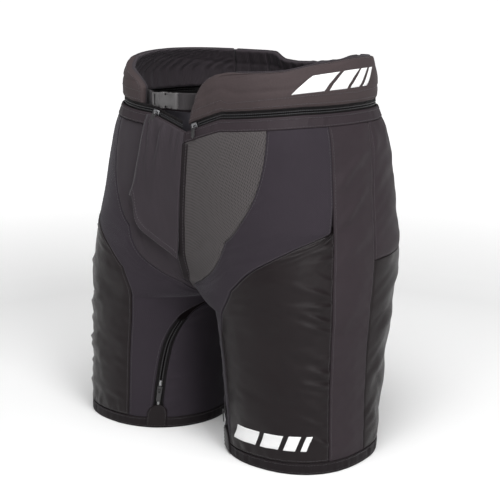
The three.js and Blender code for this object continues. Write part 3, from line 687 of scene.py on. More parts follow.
panelLooks = {
    "thigh": dict(
        width=0.12, cloth="thigh_nylon", seed=11, puff=0.0012, swell=0.0007, wave=0.075, swellAngle=1.4,
        slack=0.004, pressure=0.3,
        puckers=[dict(edge="right", count=19, height=0.0026, width=0.0031, length=0.038, skew=0.25, span=(0.04, 1)),
                 dict(edge="foot", count=22, height=0.0008, width=0.0035, length=0.014),
                 dict(edge="left", count=12, height=0.0007, width=0.004, length=0.03, skew=0.2)],
        folds=[((0.45, 0.33), (0.98, 0.24), 0.009, 0.0010, 0.04), ((0.55, 0.52), (0.98, 0.44), 0.009, 0.0008, 0.04)]),
    "yoke": dict(
        width=0.06, cloth="stretch_knit", seed=23, puff=0.0004, swell=0.0003, wave=0.06,
        puckers=[dict(edge="left", count=16, height=0.0005, width=0.004, length=0.02)]),
    "side": dict(
        width=0.055, cloth="side_nylon", seed=31, puff=0.0010, swell=0.0005, wave=0.06, swellAngle=0.9,
        slack=0.006, pressure=0.3,
        folds=[((0.05, 0.80), (0.95, 0.93), 0.007, 0.0021, 0.05), ((0.0, 0.69), (0.9, 0.83), 0.006, 0.0019, -0.04),
               ((0.1, 0.60), (1.0, 0.69), 0.008, 0.0013, 0.05), ((0.15, 0.40), (0.9, 0.5), 0.01, 0.0009, 0.05),
               ((0.05, 0.17), (0.8, 0.24), 0.01, 0.0007, 0.05)],
        puckers=[dict(edge="left", count=20, height=0.0005, width=0.004, length=0.018),
                 dict(edge="right", count=20, height=0.0007, width=0.004, length=0.022, skew=0.4)]),
    "seat": dict(
        width=0.19, cloth="side_nylon", seed=41, puff=0.0010, swell=0.0006, wave=0.07, slack=0.005, pressure=0.4,
        folds=[((0.02, 0.55), (0.30, 0.78), 0.008, 0.0012, 0.05), ((0.02, 0.25), (0.25, 0.42), 0.008, 0.0010, 0.05),
               ((0.05, 0.05), (0.35, 0.2), 0.009, 0.0009, -0.05), ((0.5, 0.1), (0.95, 0.35), 0.012, 0.0012, 0.05)],
        puckers=[dict(edge="left", count=14, height=0.0008, width=0.005, length=0.035, skew=0.5),
                 dict(edge="top", count=26, height=0.0010, width=0.005, length=0.03)]),
    "backThigh": dict(
        width=0.2, cloth="thigh_nylon", seed=51, puff=0.0010, swell=0.0006, wave=0.08, slack=0.006, pressure=0.4,
        folds=[((0.0, 0.72), (0.26, 0.93), 0.008, 0.0014, 0.05), ((0.0, 0.52), (0.25, 0.72), 0.009, 0.0012, 0.06),
               ((0.0, 0.33), (0.22, 0.5), 0.008, 0.0010, 0.05), ((0.4, 0.6), (0.9, 0.85), 0.013, 0.0014, 0.05),
               ((0.3, 0.25), (0.8, 0.4), 0.013, 0.0013, -0.04)],
        puckers=[dict(edge="left", count=13, height=0.0009, width=0.0045, length=0.04, skew=0.6),
                 dict(edge="foot", count=16, height=0.0006, width=0.0045, length=0.02)]),
    "inner": dict(width=0.09, cloth="stretch_knit", seed=61, puff=0.0006, swell=0.0005, wave=0.05,
                  puckers=[dict(edge="right", count=14, height=0.0010, width=0.004, length=0.03)]),
    "shield": dict(
        width=0.1, cloth="shield_mesh", seed=71, puff=0.0014, swell=0.0003, wave=0.06, proud=0.0004,
        puckers=[dict(edge="right", count=20, height=0.0004, width=0.003, length=0.02)],
        folds=[((0.1, 0.28), (0.62, 0.42), 0.008, 0.0010, 0.05)]),
}


def centreFront(v):
    return -2 + 0 * v


def centreBack(v):
    return 2 + 0 * v


def yokeOuter(side):
    seam = thighSeams[side]

    def line(v):
        rise = np.clip((v - yokeHeight) / 0.03, 0, 1)
        return np.where(v < yokeHeight, seam(v), mix(-0.3, sideFrontSeam(yokeHeight + 0.03), rise)
                        * (v < yokeHeight + 0.03) + sideFrontSeam(v) * (v >= yokeHeight + 0.03))

    return line


def shaded(look, **changes):
    return {**look, **changes}


for side in ("left", "right"):
    shift = 0 if side == "left" else 1
    looks = {key: shaded(look, seed=look["seed"] + shift) for key, look in panelLooks.items()}
    panel(f"{side}_thigh_panel", side, (thighSeams[side], sideFrontSeam), hemTop, yokeHeight, looks["thigh"])
    panel(f"{side}_stretch_yoke", side, (yokeInner, yokeOuter(side)), hemTop, bandFoot, looks["yoke"])
    panel(f"{side}_side_panel", side, (sideFrontSeam, sideRearSeam), hemTop, bandFoot, looks["side"])
    panel(f"{side}_seat_panel", side, (sideRearSeam, centreBack), seatFoot, bandFoot, looks["seat"])
    panel(f"{side}_back_thigh_panel", side, (sideRearSeam, backInnerSeam), hemTop, seatFoot, looks["backThigh"])
    panel(f"{side}_inner_thigh_panel", side,
          (lambda v: backInnerSeam(v) - 4, lambda v: zipSeam(v) - zipHalf), hemTop, crotch, looks["inner"])
    for seam, edges in ((f"{side}_thigh_panel", ("left", "right", "foot")), (f"{side}_side_panel", ("left", "right")),
                        (f"{side}_seat_panel", ("left", "right", "foot")), (f"{side}_back_thigh_panel", ("right",)),
                        (f"{side}_stretch_yoke", ("left", "right"))):
        for edge in edges:
            stitch(seam, edge)
panel("left_fly_shield", "left", (centreFront, flySeam), crotch, bandFoot, panelLooks["shield"])
stitch("left_fly_shield", "right", 0.0022)
print("shell panels sewn,", len(skins))

# the right fly: a sunk gusset with a hemmed flap over it
bands = dict(hemProud=0.0009, waistProud=0.0008, tapeWidth=0.013)
fly = dict(hemWidth=0.0085, lift=0.0064, foot=[(-2, 0.236), (-1.58, 0.252), (-1.26, 0.268), (-1.0, 0.304)])
flapFoot = through([(-q, v) for q, v in [(-u, v) for u, v in fly["foot"]]])


def sinkUnderFlap(grid):
    return -0.0035 * smooth(crotch + 0.012, crotch + 0.045, crotch + grid.y) * smooth(0.004, 0.03, grid.w - grid.x)


gusset = dict(width=0.1, cloth="fly_woven", seed=81, puff=0.0, swell=0.0008, wave=0.035, inward=0.0012,
              sinks=[sinkUnderFlap],
              folds=[((0.2, 0.05), (0.35, 0.42), 0.007, 0.0024, 0.05), ((0.5, 0.1), (0.6, 0.42), 0.007, 0.002, 0)])
panel("right_fly_gusset", "right", (centreFront, flySeam), crotch, bandFoot, gusset, node="right_fly_panel")


def flap():
    # its free edges run down from the waistband and then slant to the centre tape
    across = np.linspace(0, 1, 60)
    up = edgeSpaced(0.16, 0.0022)
    s, t = np.meshgrid(across, up)
    u = mix(-1.985, -0.985, s)
    footV = flapFoot(u)
    v = mix(footV, waist - 0.0015, t)
    sign = np.array([-1, 1, 1])
    base, normal = clothPoint(u, v) * sign, outward(u, v) * sign
    grid = Grid.__new__(Grid)
    grid.s, grid.t, grid.sAll, grid.tAll = across, up, s, t
    grid.points, grid.normals = base, normal
    grid.x, grid.w = grid.arc(1)
    grid.y, grid.h = grid.arc(0)
    rng = np.random.default_rng(83)
    height = grid.y
    hem = fly["hemWidth"]
    free = grid.w - grid.x
    lift = fly["lift"] * (0.3 + 0.7 * np.exp(-height / 0.03))
    lift += 0.0005 * np.exp(-((free - 0.004) / 0.003) ** 2) * smooth(1.0, 0.55, t)  # the folded side edge
    lift += 0.0009 * smooth(0, 0.0012, height) * smooth(hem, hem - 0.0012, height)  # the hem's double cloth
    lift += puckers(grid, rng, "top", 9, 0.0030, 0.0032, 0.04)
    lift += ripple(grid.x, grid.y, rng, 0.0006, 0.05, 0.1)
    lift = lift * (1 - 0.75 * np.exp(-(grid.h - grid.y) / 0.006)) + 0.0014 - rolled(grid.inside(), 0.0012)
    outer = base + normal * (lift + 0.0004)[..., None]
    inner = base + normal * (lift - 0.0009)[..., None]
    uv = np.stack([grid.x, grid.y], -1)
    piece = closedPlate("right_fly_flap", outer, inner, uv, [paint["fly_woven"]], flip=True)
    settle(piece)
    wide, long = float(grid.w.max()), float(grid.h.max())
    min(wide * long, grid.area())
    skins["right_fly_flap"] = (grid, outer)
    for inset in (0.0018, hem - 0.001):
        stitch("right_fly_flap", "foot", inset)
    stitch("right_fly_flap", "right", 0.0022)


flap()


# bands and tape

def ring(name, side, low, high, proud, thick, cloth, slot, nodes, seed, count=230):
    # a band that goes once round a leg, with a rolled foot
    u = -2 + 4 * np.arange(count) / count
    t = edgeSpaced(high - low, 0.0018)
    uAll, tAll = np.meshgrid(u, t)
    v = mix(low, high, tAll)
    sign = np.array([1 if side == "left" else -1, 1, 1])
    base, normal = clothPoint(uAll, v) * sign, outward(uAll, v, level=True) * sign
    rng = np.random.default_rng(seed)
    y = v - low
    along = np.cumsum(np.linalg.norm(np.roll(base, -1, 1) - base, axis=-1), axis=1)
    turns = 2 * np.pi * along / along[:, -1:]
    wobble = sum(a * np.cos(k * turns + p) for k, a, p in
                 zip(rng.integers(18, 75, 12), rng.uniform(0.2, 1, 12), rng.uniform(0, 6.28, 12)))
    edge = np.minimum(y, (high - low) - y)
    relief = proud + 0.00022 * wobble * smooth(0, 0.003, edge) - rolled(edge, 0.0012)
    for stitched in (0.0025, high - low - 0.003):  # the cloth is drawn in where it is stitched
        relief -= 0.0005 * np.exp(-((y - stitched) / 0.0009) ** 2)
    outer = base + normal * relief[..., None]
    inner = base - normal * thick
    inner[..., 2] = base[..., 2]
    uv = np.stack([along, y], -1)
    piece = closedPlate(name + "_cloth", outer, inner, uv, [paint[cloth]], flip=side == "right", wrap=True)
    settle(piece, nodes=nodes)
    for height in (0.0025, high - low - 0.003):
        row = int(np.argmin(abs(y[:, 0] - height)))
        stitchLines["thread"].append((outer[row] + normal[row] * 0.0001, normal[row]))
    return piece


for side in ("left", "right"):
    ring(f"{side}_hem_band", side, 0.0, hemTop, bands["hemProud"], 0.0022, "hem_fabric", "hem_fabric",
         [f"{side}_hem_band"], 91 if side == "left" else 92)


def strip(name, side, place, width, height, relief, thick, cloth, nodes=(), step=0.0022,
          edge=0.001):
    # a narrow cloth part from place(s, t) -> points, normals
    grid = Grid(place, width, height, step)
    raised = relief(grid) - rolled(grid.inside(), edge)
    outer = grid.points + grid.normals * raised[..., None]
    inner = grid.points + grid.normals * (relief(grid) - thick)[..., None]
    piece = closedPlate(name + "_cloth", outer, inner, np.stack([grid.x, grid.y], -1), [paint[cloth]],
                        flip=side == "right")
    settle(piece, nodes=nodes)
    skins[name] = (grid, outer)
    return piece


for side in ("left", "right"):
    place = surfacePlace(side, centreFront, centreBack, bandFoot, waist, level=True)
    rng = np.random.default_rng(95 if side == "left" else 96)

    def waistRelief(grid, rng=rng):
        wave = ripple(grid.x, grid.y * 0, np.random.default_rng(97), 0.0003, 0.016, 0, 0.1)
        crease = 0.0005 * np.exp(-((grid.y - 0.0105) / 0.0008) ** 2)
        return bands["waistProud"] + wave * smooth(0, 0.004, grid.inside()) - crease

    strip(f"{side}_waistband", side, place, 0.5, 0.014, waistRelief, 0.0022, "side_nylon",
          [f"{side}_waistband"])
    stitch(f"{side}_waistband", "foot", 0.002)
    stitch(f"{side}_waistband", "top", 0.003)


def tapePlace(s, t):
    v = mix(crotch + 0.03, bandFoot - 0.001, t)
    x = (s - 0.5) * bands["tapeWidth"]
    point, normal = clothPoint(-2 + 0 * v, v), outward(-2 + 0 * v, v)
    normal[..., 0] = 0
    point[..., 0] = x
    return point, unit(normal)


strip("centre_front_tape", "left", tapePlace, bands["tapeWidth"], 0.19, lambda grid: 0.0026 + 0 * grid.x, 0.0014,
      "hem_fabric", ["centre_front_tape"], step=0.0018)
for edge in ("left", "right"):
    stitch("centre_front_tape", edge, 0.0016)


def crotchPlace(s, t):
    # closes the seam between the legs, from the front's centre seam to the back's
    y = mix(-0.054, 0.036, s)
    half = np.minimum(0.003 + 0.008 * ((y + 0.0145) / 0.04) ** 2, 0.011)
    points = np.stack([(2 * t - 1) * half, y, crotch + 0.0005 + 0 * y], -1)
    return points, np.broadcast_to([0.0, 0.0, -1.0], points.shape)


strip("crotch_gusset", "left", crotchPlace, 0.09, 0.02, lambda grid: 0 * grid.x, 0.001, "stretch_knit",
      edge=0.0003)
print("bands and tape done")


# belt

rimSag = through([(0.7, 0), (0.84, -0.002), (0.98, -0.008), (1.2, -0.0095), (1.4, -0.0085), (1.6, -0.002), (2, 0)])
beltLook = dict(height=0.056, edgeRadius=0.0042, edgeSteps=(0.0003, 0.001, 0.0021, 0.0034), crown=0.0006,
                foldAt=0.27, foldDepth=0.0010, step=0.0024, piping=0.0013, gatherPitch=0.013, gatherHeight=0.0013)


def beltPiece(name, side, fromLine, toLine, width, seed, nodes, gathers=0.0):
    # one padded length of the belt: cover outside, gathered lining inside, rounded all round
    sign = np.array([1 if side == "left" else -1, 1, 1])

    def place(s, t):
        u = mix(fromLine(t), toLine(t), s)
        wrapped = np.where(u > 2, 4 - u, u)
        point, normal = beltPoint(wrapped, t, 0), outward(wrapped, waist, level=True)
        onLeft = (u > 2) == (side == "right")  # the rim sags more on the left of the back
        point[..., 2] += rimSag(np.clip(wrapped, 0.7, 2)) * t * onLeft
        over = (u > 2)[..., None] * np.array([2, 0, 0])
        point, normal = point * (1 - over), normal * (1 - over)
        return point * sign, normal * sign

    radius = beltLook["edgeRadius"]
    height, near = beltLook["height"], np.array(beltLook["edgeSteps"])
    grid = Grid(place, width, height, beltLook["step"])
    grid.t = np.unique(np.concatenate([grid.t, [0], near / height, 1 - near / height]))
    grid.s = np.unique(np.concatenate([grid.s, near / width, 1 - near / width]))
    grid.lay(place)
    rng = np.random.default_rng(seed)
    edge = grid.inside()
    crown = beltLook["crown"] * np.sin(np.pi * grid.y / grid.h) * (1 - np.exp(-edge / 0.008))
    crown += relax(name, grid, 0.004, 0.5, stiffness=20, bending=4, cap=0.0012)
    crown += ripple(grid.x, grid.y, rng, 0.0003, 0.05, 0.2) * smooth(0, 0.01, edge)
    crown -= beltLook["foldDepth"] * np.exp(-((grid.y / grid.h - beltLook["foldAt"]) / 0.03) ** 2)
    turn = rolled(edge, radius)
    outer = grid.points + grid.normals * (crown - turn)[..., None]
    wave = ripple(grid.x, grid.y * 0.15, rng, gathers, beltLook["gatherPitch"], 0.0, 0.15)
    hold = np.exp(-((grid.y / grid.h - 0.62) / 0.03) ** 2)  # the line that stitches the gathers down
    lining = -belt["inside"] + turn - 0.0004 - wave * smooth(0, 0.006, edge) * (1 - 0.8 * hold) + 0.001 * hold
    inner = grid.points + grid.normals * np.minimum(lining, crown - turn - 0.0012)[..., None]
    uv = np.stack([grid.x, grid.y], -1)
    piece = closedPlate(name, outer, inner, uv, [paint["belt_cover"], paint["belt_lining"]], flip=side == "right",
                        backMaterial=1)
    settle(piece, nodes=nodes)
    skins[name] = (grid, outer)
    return piece


wingFronts = {  # where each wing's front edge lies at a share of its height
    "left": through([(0, belt["leftEnd"] - 0.06), (0.4, -1.84), (0.7, -1.70), (0.86, -1.54), (0.95, -1.32),
                     (1, -0.98)]),
    "right": through([(0, belt["rightEnd"]), (0.45, belt["rightEnd"] - 0.01), (0.7, -0.84), (0.88, -0.63),
                      (1, -0.36)]),
}


def constant(value):
    return lambda w: value + 0 * w


layers = ("cover", "foam", "lining")
beltPiece("left_belt_pad", "left", wingFronts["left"], constant(belt["wingJoin"]), 0.33, 101,
          [f"left_belt_{layer}" for layer in layers], gathers=0.0008)
beltPiece("right_belt_pad", "right", wingFronts["right"], constant(belt["wingJoin"]), 0.24, 102,
          [f"right_belt_{layer}" for layer in layers], gathers=0.0008)
beltPiece("back_belt_pad", "left", constant(belt["wingJoin"]), constant(4 - belt["wingJoin"]), 0.24, 103,
          [f"back_belt_{layer}" for layer in layers], gathers=beltLook["gatherHeight"])


def tube(name, points, radius, material, sides=10, endTaper=0.55):
    # a closed-ended round welt along points
    points = np.asarray(points)
    ahead = unit(np.gradient(points, axis=0))
    guide = np.array([0.0, 0.0, 1.0])
    guide = np.where(np.abs(ahead @ guide)[:, None] > 0.9, np.array([0.0, 1.0, 0.0]), guide)
    across = unit(np.cross(ahead, guide))
    third = np.cross(across, ahead)
    angle = 2 * np.pi * np.arange(sides) / sides
    taper = np.ones(len(points))
    taper[[0, -1]] = endTaper
    spokes = across[:, None] * np.cos(angle)[:, None] + third[:, None] * np.sin(angle)[:, None]
    ringPoints = points[:, None] + spokes * (radius * taper)[:, None, None]
    index = np.arange(len(points) * sides).reshape(len(points), sides)
    after = np.roll(index, -1, 1)
    faces = np.stack([index[:-1].ravel(), index[1:].ravel(), after[1:].ravel(), after[:-1].ravel()], -1).tolist()
    faces.append(index[0].tolist())
    faces.append(index[-1][::-1].tolist())
    mesh = bpy.data.meshes.new(name)
    mesh.from_pydata(ringPoints.reshape(-1, 3).tolist(), [], faces)
    run = np.concatenate([[0], np.cumsum(np.linalg.norm(np.diff(points, axis=0), axis=1))])
    uv = np.stack([np.repeat(run, sides), np.tile(angle * radius, len(points))], -1)
    corner = np.zeros(len(mesh.loops), np.int32)
    mesh.loops.foreach_get("vertex_index", corner)
    layer = mesh.uv_layers.new(name="Cloth")
    layer.data.foreach_set("uv", uv[corner].astype(np.float32).ravel())
    mesh.materials.append(paint[material])
    mesh.polygons.foreach_set("use_smooth", np.ones(len(mesh.polygons), bool))
    mesh.update()
    bm = bmesh.new()
    bm.from_mesh(mesh)
    bmesh.ops.recalc_face_normals(bm, faces=bm.faces)
    bm.to_mesh(mesh)
    bm.free()
    piece = bpy.data.objects.new(name, mesh)
    scene.collection.objects.link(piece)
    return settle(piece)


def rimOf(name, parts, shortest=0.0008):
    # the belt's edge line between cover and lining, over the given (edge, from, to) parts
    grid, outer = skins[name]
    line = []
    for edge, first, last in parts:
        if edge in ("top", "foot"):
            row = outer[-1 if edge == "top" else 0]
            keep = (grid.s >= first) & (grid.s <= last)
            line.append(row[keep])
        else:
            column = outer[:, 0 if edge == "left" else -1]
            line.append(column[(grid.t >= first) & (grid.t <= last)][::-1])
    line = np.concatenate(line)
    gaps = np.linalg.norm(np.diff(line, axis=0), axis=1)
    return line[np.concatenate([[True], gaps > shortest])]


for name in ("left_belt_pad", "right_belt_pad", "back_belt_pad"):
    for inset in (0.0052, 0.0155):
        stitch(name, "foot", inset)
    stitch(name, "top", 0.0055)
stitch("left_belt_pad", "left", 0.0052, span=(0.08, 0.92))
stitch("right_belt_pad", "left", 0.0052, span=(0.08, 0.92))
for name, side in (("left_belt_pad", "left"), ("right_belt_pad", "right"), ("back_belt_pad", "back")):
    parts = [("top", 0.012, 0.995)] if side == "back" else [("top", 0.015, 1.0)]
    tube(f"{side}_belt_welt", rimOf(name, parts), beltLook["piping"], "belt_lining")
print("belt padded")


# zips

zips = dict(waist=(-1.86, 2.0), depth=0.0025, tape=0.0011, slit=0.0024, middle=0.0038, pitch=0.0024,
            tooth=(0.0014, 0.0010, 0.0014), closedFrom=-1.03, chainLap=0.0004, chainDepth=0.0003,
            below=0.008, above=0.0015, teethFrom=-1.72)
teethLines = []


def waistZipPoint(side, u, lift, depth):
    sign = np.array([1 if side == "left" else -1, 1, 1])
    normal = outward(u, waist, level=True)
    point = clothPoint(u, waist) - normal * depth
    point[..., 2] += lift
    return point * sign, normal * sign


for side in ("left", "right"):
    half = zips["slit"] / 2
    for row, low, high in (("lower", -zips["below"], zips["middle"] - half),
                           ("upper", zips["middle"] + half, belt["lift"] + zips["above"])):
        def zipPlace(s, t, low=low, high=high):
            return waistZipPoint(side, mix(*zips["waist"], s), mix(low, high, t), zips["depth"])

        strip(f"{side}_waist_zip_{row}", side, zipPlace, 0.48, abs(high - low), lambda grid: 0 * grid.x, zips["tape"],
              "zip_tape", [f"{side}_waist_zip_{row}"], step=0.003, edge=0.0003)
        u = np.linspace(*zips["waist"], 260)
        lift = zips["middle"] - half * 1.1 if row == "lower" else zips["middle"] + half * 1.1  # clear of the slider
        u = u[u > zips["teethFrom"]] if side == "left" else u
        teethLines.append(waistZipPoint(side, u, lift, zips["depth"] + zips["tape"] / 2))

    def chainPlace(s, t, side=side, half=half):
        # the closed teeth past the slider's run, which fill the slit
        lift = zips["middle"] + (2 * t - 1) * (half + zips["chainLap"])
        u = mix(zips["closedFrom"], zips["waist"][1], s)
        return waistZipPoint(side, u, lift, zips["depth"] + zips["chainDepth"])

    strip(f"{side}_waist_zip_chain", side, chainPlace, 0.40, zips["slit"] + 2 * zips["chainLap"],
          lambda grid: 0 * grid.x, 0.0005, "zip_tape", step=0.0016, edge=0.0001)


def thighZipPlace(side, near, far):
    sign = np.array([1 if side == "left" else -1, 1, 1])

    def place(s, t):
        v = mix(hemTop, mix(hemTop, crotch, 0.8), t)
        u = zipSeam(v) + mix(near, far, s)
        normal = outward(u, v)
        return (clothPoint(u, v) - normal * 0.0004) * sign, normal * sign

    return place


for side in ("left", "right"):
    for row, near, far in (("front", 0.011, zipHalf), ("back", -zipHalf, -0.011)):
        strip(f"{side}_thigh_zip_{row}", side, thighZipPlace(side, near, far), 0.0045, 0.13,
              lambda grid: 0 * grid.x, zips["tape"], "zip_tape", [f"{side}_thigh_zip_{row}"],
              step=0.0016, edge=0.0003)
        v = np.linspace(hemTop + 0.004, mix(hemTop, crotch, 0.78), 120)
        v = v[np.abs(v - 0.052) > 0.006]
        for part in (v[v < 0.052], v[v > 0.052]):
            edge = (near if row == "front" else far) * 1.1
            place = thighZipPlace(side, edge, edge)
            t = (part - hemTop) / (mix(hemTop, crotch, 0.8) - hemTop)
            points, normals = place(0 * t, t)
            teethLines.append((points - normals * zips["tape"] / 2, normals))

for side in ("left", "right"):
    sign = np.array([1 if side == "left" else -1, 1, 1])

    def tabPlace(s, t, sign=sign):
        v = mix(0.003, 0.032, t)
        round_ = np.sqrt(np.clip(1 - np.clip((t - 0.55) / 0.45, 0, 1) ** 2, 0.02, 1))
        u = zipSeam(v) + (s - 0.5) * 0.18 * round_
        return clothPoint(u, v) * sign, outward(u, v) * sign

    strip(f"{side}_zip_tab", side, tabPlace, 0.017, 0.029,
          lambda grid: 0.0024 + 0.0004 * smooth(0, 0.003, grid.inside()),
          0.0013, "thigh_nylon", [f"{side}_zip_tab"], step=0.0012, edge=0.0009)
    for edge in ("left", "right"):
        stitch(f"{side}_zip_tab", edge, 0.0022, span=(0.05, 0.8))


# rows of stitches and teeth

def rowTree(name, shape):
    # sets a small solid at even steps along lines, standing up along each point's "rise"
    tree = bpy.data.node_groups.new(name, "GeometryNodeTree")
    tree.is_modifier = True
    face = tree.interface
    face.new_socket("Lines", in_out="INPUT", socket_type="NodeSocketGeometry")
    for label, value in (("Pitch", 0.004), ("Long", 0.003), ("Wide", 0.0006), ("High", 0.0005)):
        face.new_socket(label, in_out="INPUT", socket_type="NodeSocketFloat").default_value = value
    face.new_socket("Finish", in_out="INPUT", socket_type="NodeSocketMaterial")
    face.new_socket("Rows", in_out="OUTPUT", socket_type="NodeSocketGeometry")
    nodes, links = tree.nodes, tree.links
    given, made = nodes.new("NodeGroupInput"), nodes.new("NodeGroupOutput")
    curve = nodes.new("GeometryNodeMeshToCurve")
    even = nodes.new("GeometryNodeResampleCurve")
    even.mode = "LENGTH"
    links.new(given.outputs["Lines"], curve.inputs["Mesh"])
    links.new(curve.outputs["Curve"], even.inputs["Curve"])
    links.new(given.outputs["Pitch"], even.inputs["Length"])
    ahead = nodes.new("GeometryNodeInputTangent")
    rise = nodes.new("GeometryNodeInputNamedAttribute")
    rise.data_type = "FLOAT_VECTOR"
    rise.inputs["Name"].default_value = "rise"
    first = nodes.new("FunctionNodeAlignRotationToVector")
    first.axis = "X"
    second = nodes.new("FunctionNodeAlignRotationToVector")
    second.axis, second.pivot_axis = "Z", "X"
    links.new(ahead.outputs[0], first.inputs["Vector"])
    links.new(first.outputs[0], second.inputs["Rotation"])
    links.new(rise.outputs["Attribute"], second.inputs["Vector"])
    size = nodes.new("ShaderNodeCombineXYZ")
    for label, axis in (("Long", "X"), ("Wide", "Y"), ("High", "Z")):
        links.new(given.outputs[label], size.inputs[axis])
    if shape == "ball":
        solid = nodes.new("GeometryNodeMeshUVSphere")
        solid.inputs["Segments"].default_value = 8
        solid.inputs["Rings"].default_value = 4
        solid.inputs["Radius"].default_value = 0.5
    else:
        solid = nodes.new("GeometryNodeMeshCube")
    place = nodes.new("GeometryNodeInstanceOnPoints")
    links.new(even.outputs["Curve"], place.inputs["Points"])
    links.new(solid.outputs["Mesh"], place.inputs["Instance"])
    links.new(second.outputs[0], place.inputs["Rotation"])
    links.new(size.outputs[0], place.inputs["Scale"])
    real = nodes.new("GeometryNodeRealizeInstances")
    finish = nodes.new("GeometryNodeSetMaterial")
    links.new(place.outputs["Instances"], real.inputs["Geometry"])
    links.new(real.outputs["Geometry"], finish.inputs["Geometry"])
    links.new(given.outputs["Finish"], finish.inputs["Material"])
    links.new(finish.outputs["Geometry"], made.inputs["Rows"])
    return tree


def rowsAlong(name, lines, tree, sizes, material, body="pants"):
    points = np.concatenate([line[0] for line in lines])
    rises = np.concatenate([line[1] for line in lines])
    edges, start = [], 0
    for line in lines:
        count = len(line[0])
        index = np.arange(start, start + count)
        edges += np.stack([index[:-1], index[1:]], -1).tolist()
        start += count
    mesh = bpy.data.meshes.new(name + "_lines")
    mesh.from_pydata(points.tolist(), edges, [])
    attribute = mesh.attributes.new("rise", "FLOAT_VECTOR", "POINT")
    attribute.data.foreach_set("vector", rises.astype(np.float32).ravel())
    source = bpy.data.objects.new(name + "_lines", mesh)
    scene.collection.objects.link(source)
    modifier = source.modifiers.new("rows", "NODES")
    modifier.node_group = tree
    sockets = {item.name: item.identifier for item in tree.interface.items_tree if item.in_out == "INPUT"}
    for label, value in sizes.items():
        modifier[sockets[label]] = value
    modifier[sockets["Finish"]] = paint[material]
    evaluated = source.evaluated_get(bpy.context.evaluated_depsgraph_get())
    made = bpy.data.meshes.new_from_object(evaluated)
    bpy.data.objects.remove(source)
    if not made.materials:
        made.materials.append(paint[material])
    piece = bpy.data.objects.new(name, made)
    scene.collection.objects.link(piece)
    made.polygons.foreach_set("use_smooth", np.full(len(made.polygons), tree.name == "stitchRow"))
    return settle(piece, body)


stitchTree = rowTree("stitchRow", "ball")
toothTree = rowTree("toothRow", "block")
stitchSize = {"Pitch": 0.0036, "Long": 0.0029, "Wide": 0.00062, "High": 0.00055}
toothSize = {"Pitch": zips["pitch"], "Long": zips["tooth"][0], "Wide": zips["tooth"][1], "High": zips["tooth"][2]}
half = len(stitchLines["thread"]) // 2
for part, lines in (("a", stitchLines["thread"][:half]), ("b", stitchLines["thread"][half:])):
    rowsAlong(f"topstitching_{part}", lines, stitchTree, stitchSize, "thread")
rowsAlong("zip_teeth_rows", teethLines, toothTree, toothSize, "zip_teeth")
print("stitches and teeth set,", len(stitchLines["thread"]), "stitch lines")


# straps and buckle

strap = dict(width=0.020, thick=0.0015, z=0.4205, y=0.006 - shell["waistDepth"] / 2 + shell["setBack"], x=-0.045,
             sway=0.0024, gap=0.00035)


def smoothPath(points, step):
    # a Catmull-Rom line through points, at even steps
    points = np.asarray(points, float)
    padded = np.vstack([2 * points[0] - points[1], points, 2 * points[-1] - points[-2]])
    fine = []
    for a, b, c, d in zip(padded, padded[1:], padded[2:], padded[3:]):
        t = np.linspace(0, 1, 24, endpoint=False)[:, None]
        fine.append(0.5 * (2 * b + (c - a) * t + (2 * a - 5 * b + 4 * c - d) * t * t
                           + (3 * b - a - 3 * c + d) * t ** 3))
    fine = np.vstack([*fine, points[-1:]])
    run = np.concatenate([[0], np.cumsum(np.linalg.norm(np.diff(fine, axis=0), axis=1))])
    even = np.linspace(0, run[-1], max(3, int(run[-1] / step)) + 1)
    return np.stack([np.interp(even, run, fine[:, c]) for c in range(fine.shape[1])], -1), run[-1]


def behindBelt(stations, sign):
    depth = belt["inside"] + strap["gap"] + strap["sway"] + strap["thick"] / 2
    points = beltPoint(np.array(stations), np.array([0.4]), depth)[:, :2]
    return points * np.array([sign, 1])


def webStrap(name, path, nodes):
    line, long = smoothPath(path, 0.0016)
    t = edgeSpaced(strap["width"], 0.0016, near=(0.0003, 0.0008))
    z = strap["z"] + (t - 0.5) * strap["width"]
    ahead = unit(np.gradient(line, axis=0))
    side = np.stack([ahead[:, 1], -ahead[:, 0]], -1)
    points = np.zeros((len(z), len(line), 3))
    points[..., :2] = line[None]
    points[..., 2] = z[:, None]
    normals = np.zeros_like(points)
    normals[..., :2] = side[None]
    y = np.minimum(z - z[0], z[-1] - z)[:, None] + np.zeros(len(line))
    selvedge = 0.00015 * np.exp(-((y - 0.0016) / 0.0007) ** 2)
    turn = rolled(y, 0.0006)
    skinsOut = points + normals * (strap["thick"] / 2 - turn + selvedge)[..., None]
    skinsIn = points - normals * (strap["thick"] / 2 - turn + selvedge)[..., None]
    run = np.concatenate([[0], np.cumsum(np.linalg.norm(np.diff(line, axis=0), axis=1))])
    uv = np.stack(np.broadcast_arrays(run[None], (z - z[0])[:, None]), -1)
    piece = closedPlate(name, skinsOut, skinsIn, uv, [paint["webbing"]])
    settle(piece, nodes=nodes)
    return piece


housingEnd = strap["x"] + 0.028
baseEnd = strap["x"] - 0.0003 - 0.012
leftPath = np.vstack([[(housingEnd + 0.0003, strap["y"]), (housingEnd + 0.008, strap["y"] + 0.001)],
                      behindBelt([-1.97, -1.86, -1.75, -1.6], 1)])
rightPath = np.vstack([[(baseEnd - 0.0003, strap["y"]), (baseEnd - 0.003, strap["y"])],
                       behindBelt([-0.925, -0.9, -0.86, -0.82], -1)])
webStrap("left_strap_web", leftPath, ["left_strap"])
webStrap("right_strap_web", rightPath[::-1], ["right_strap"])


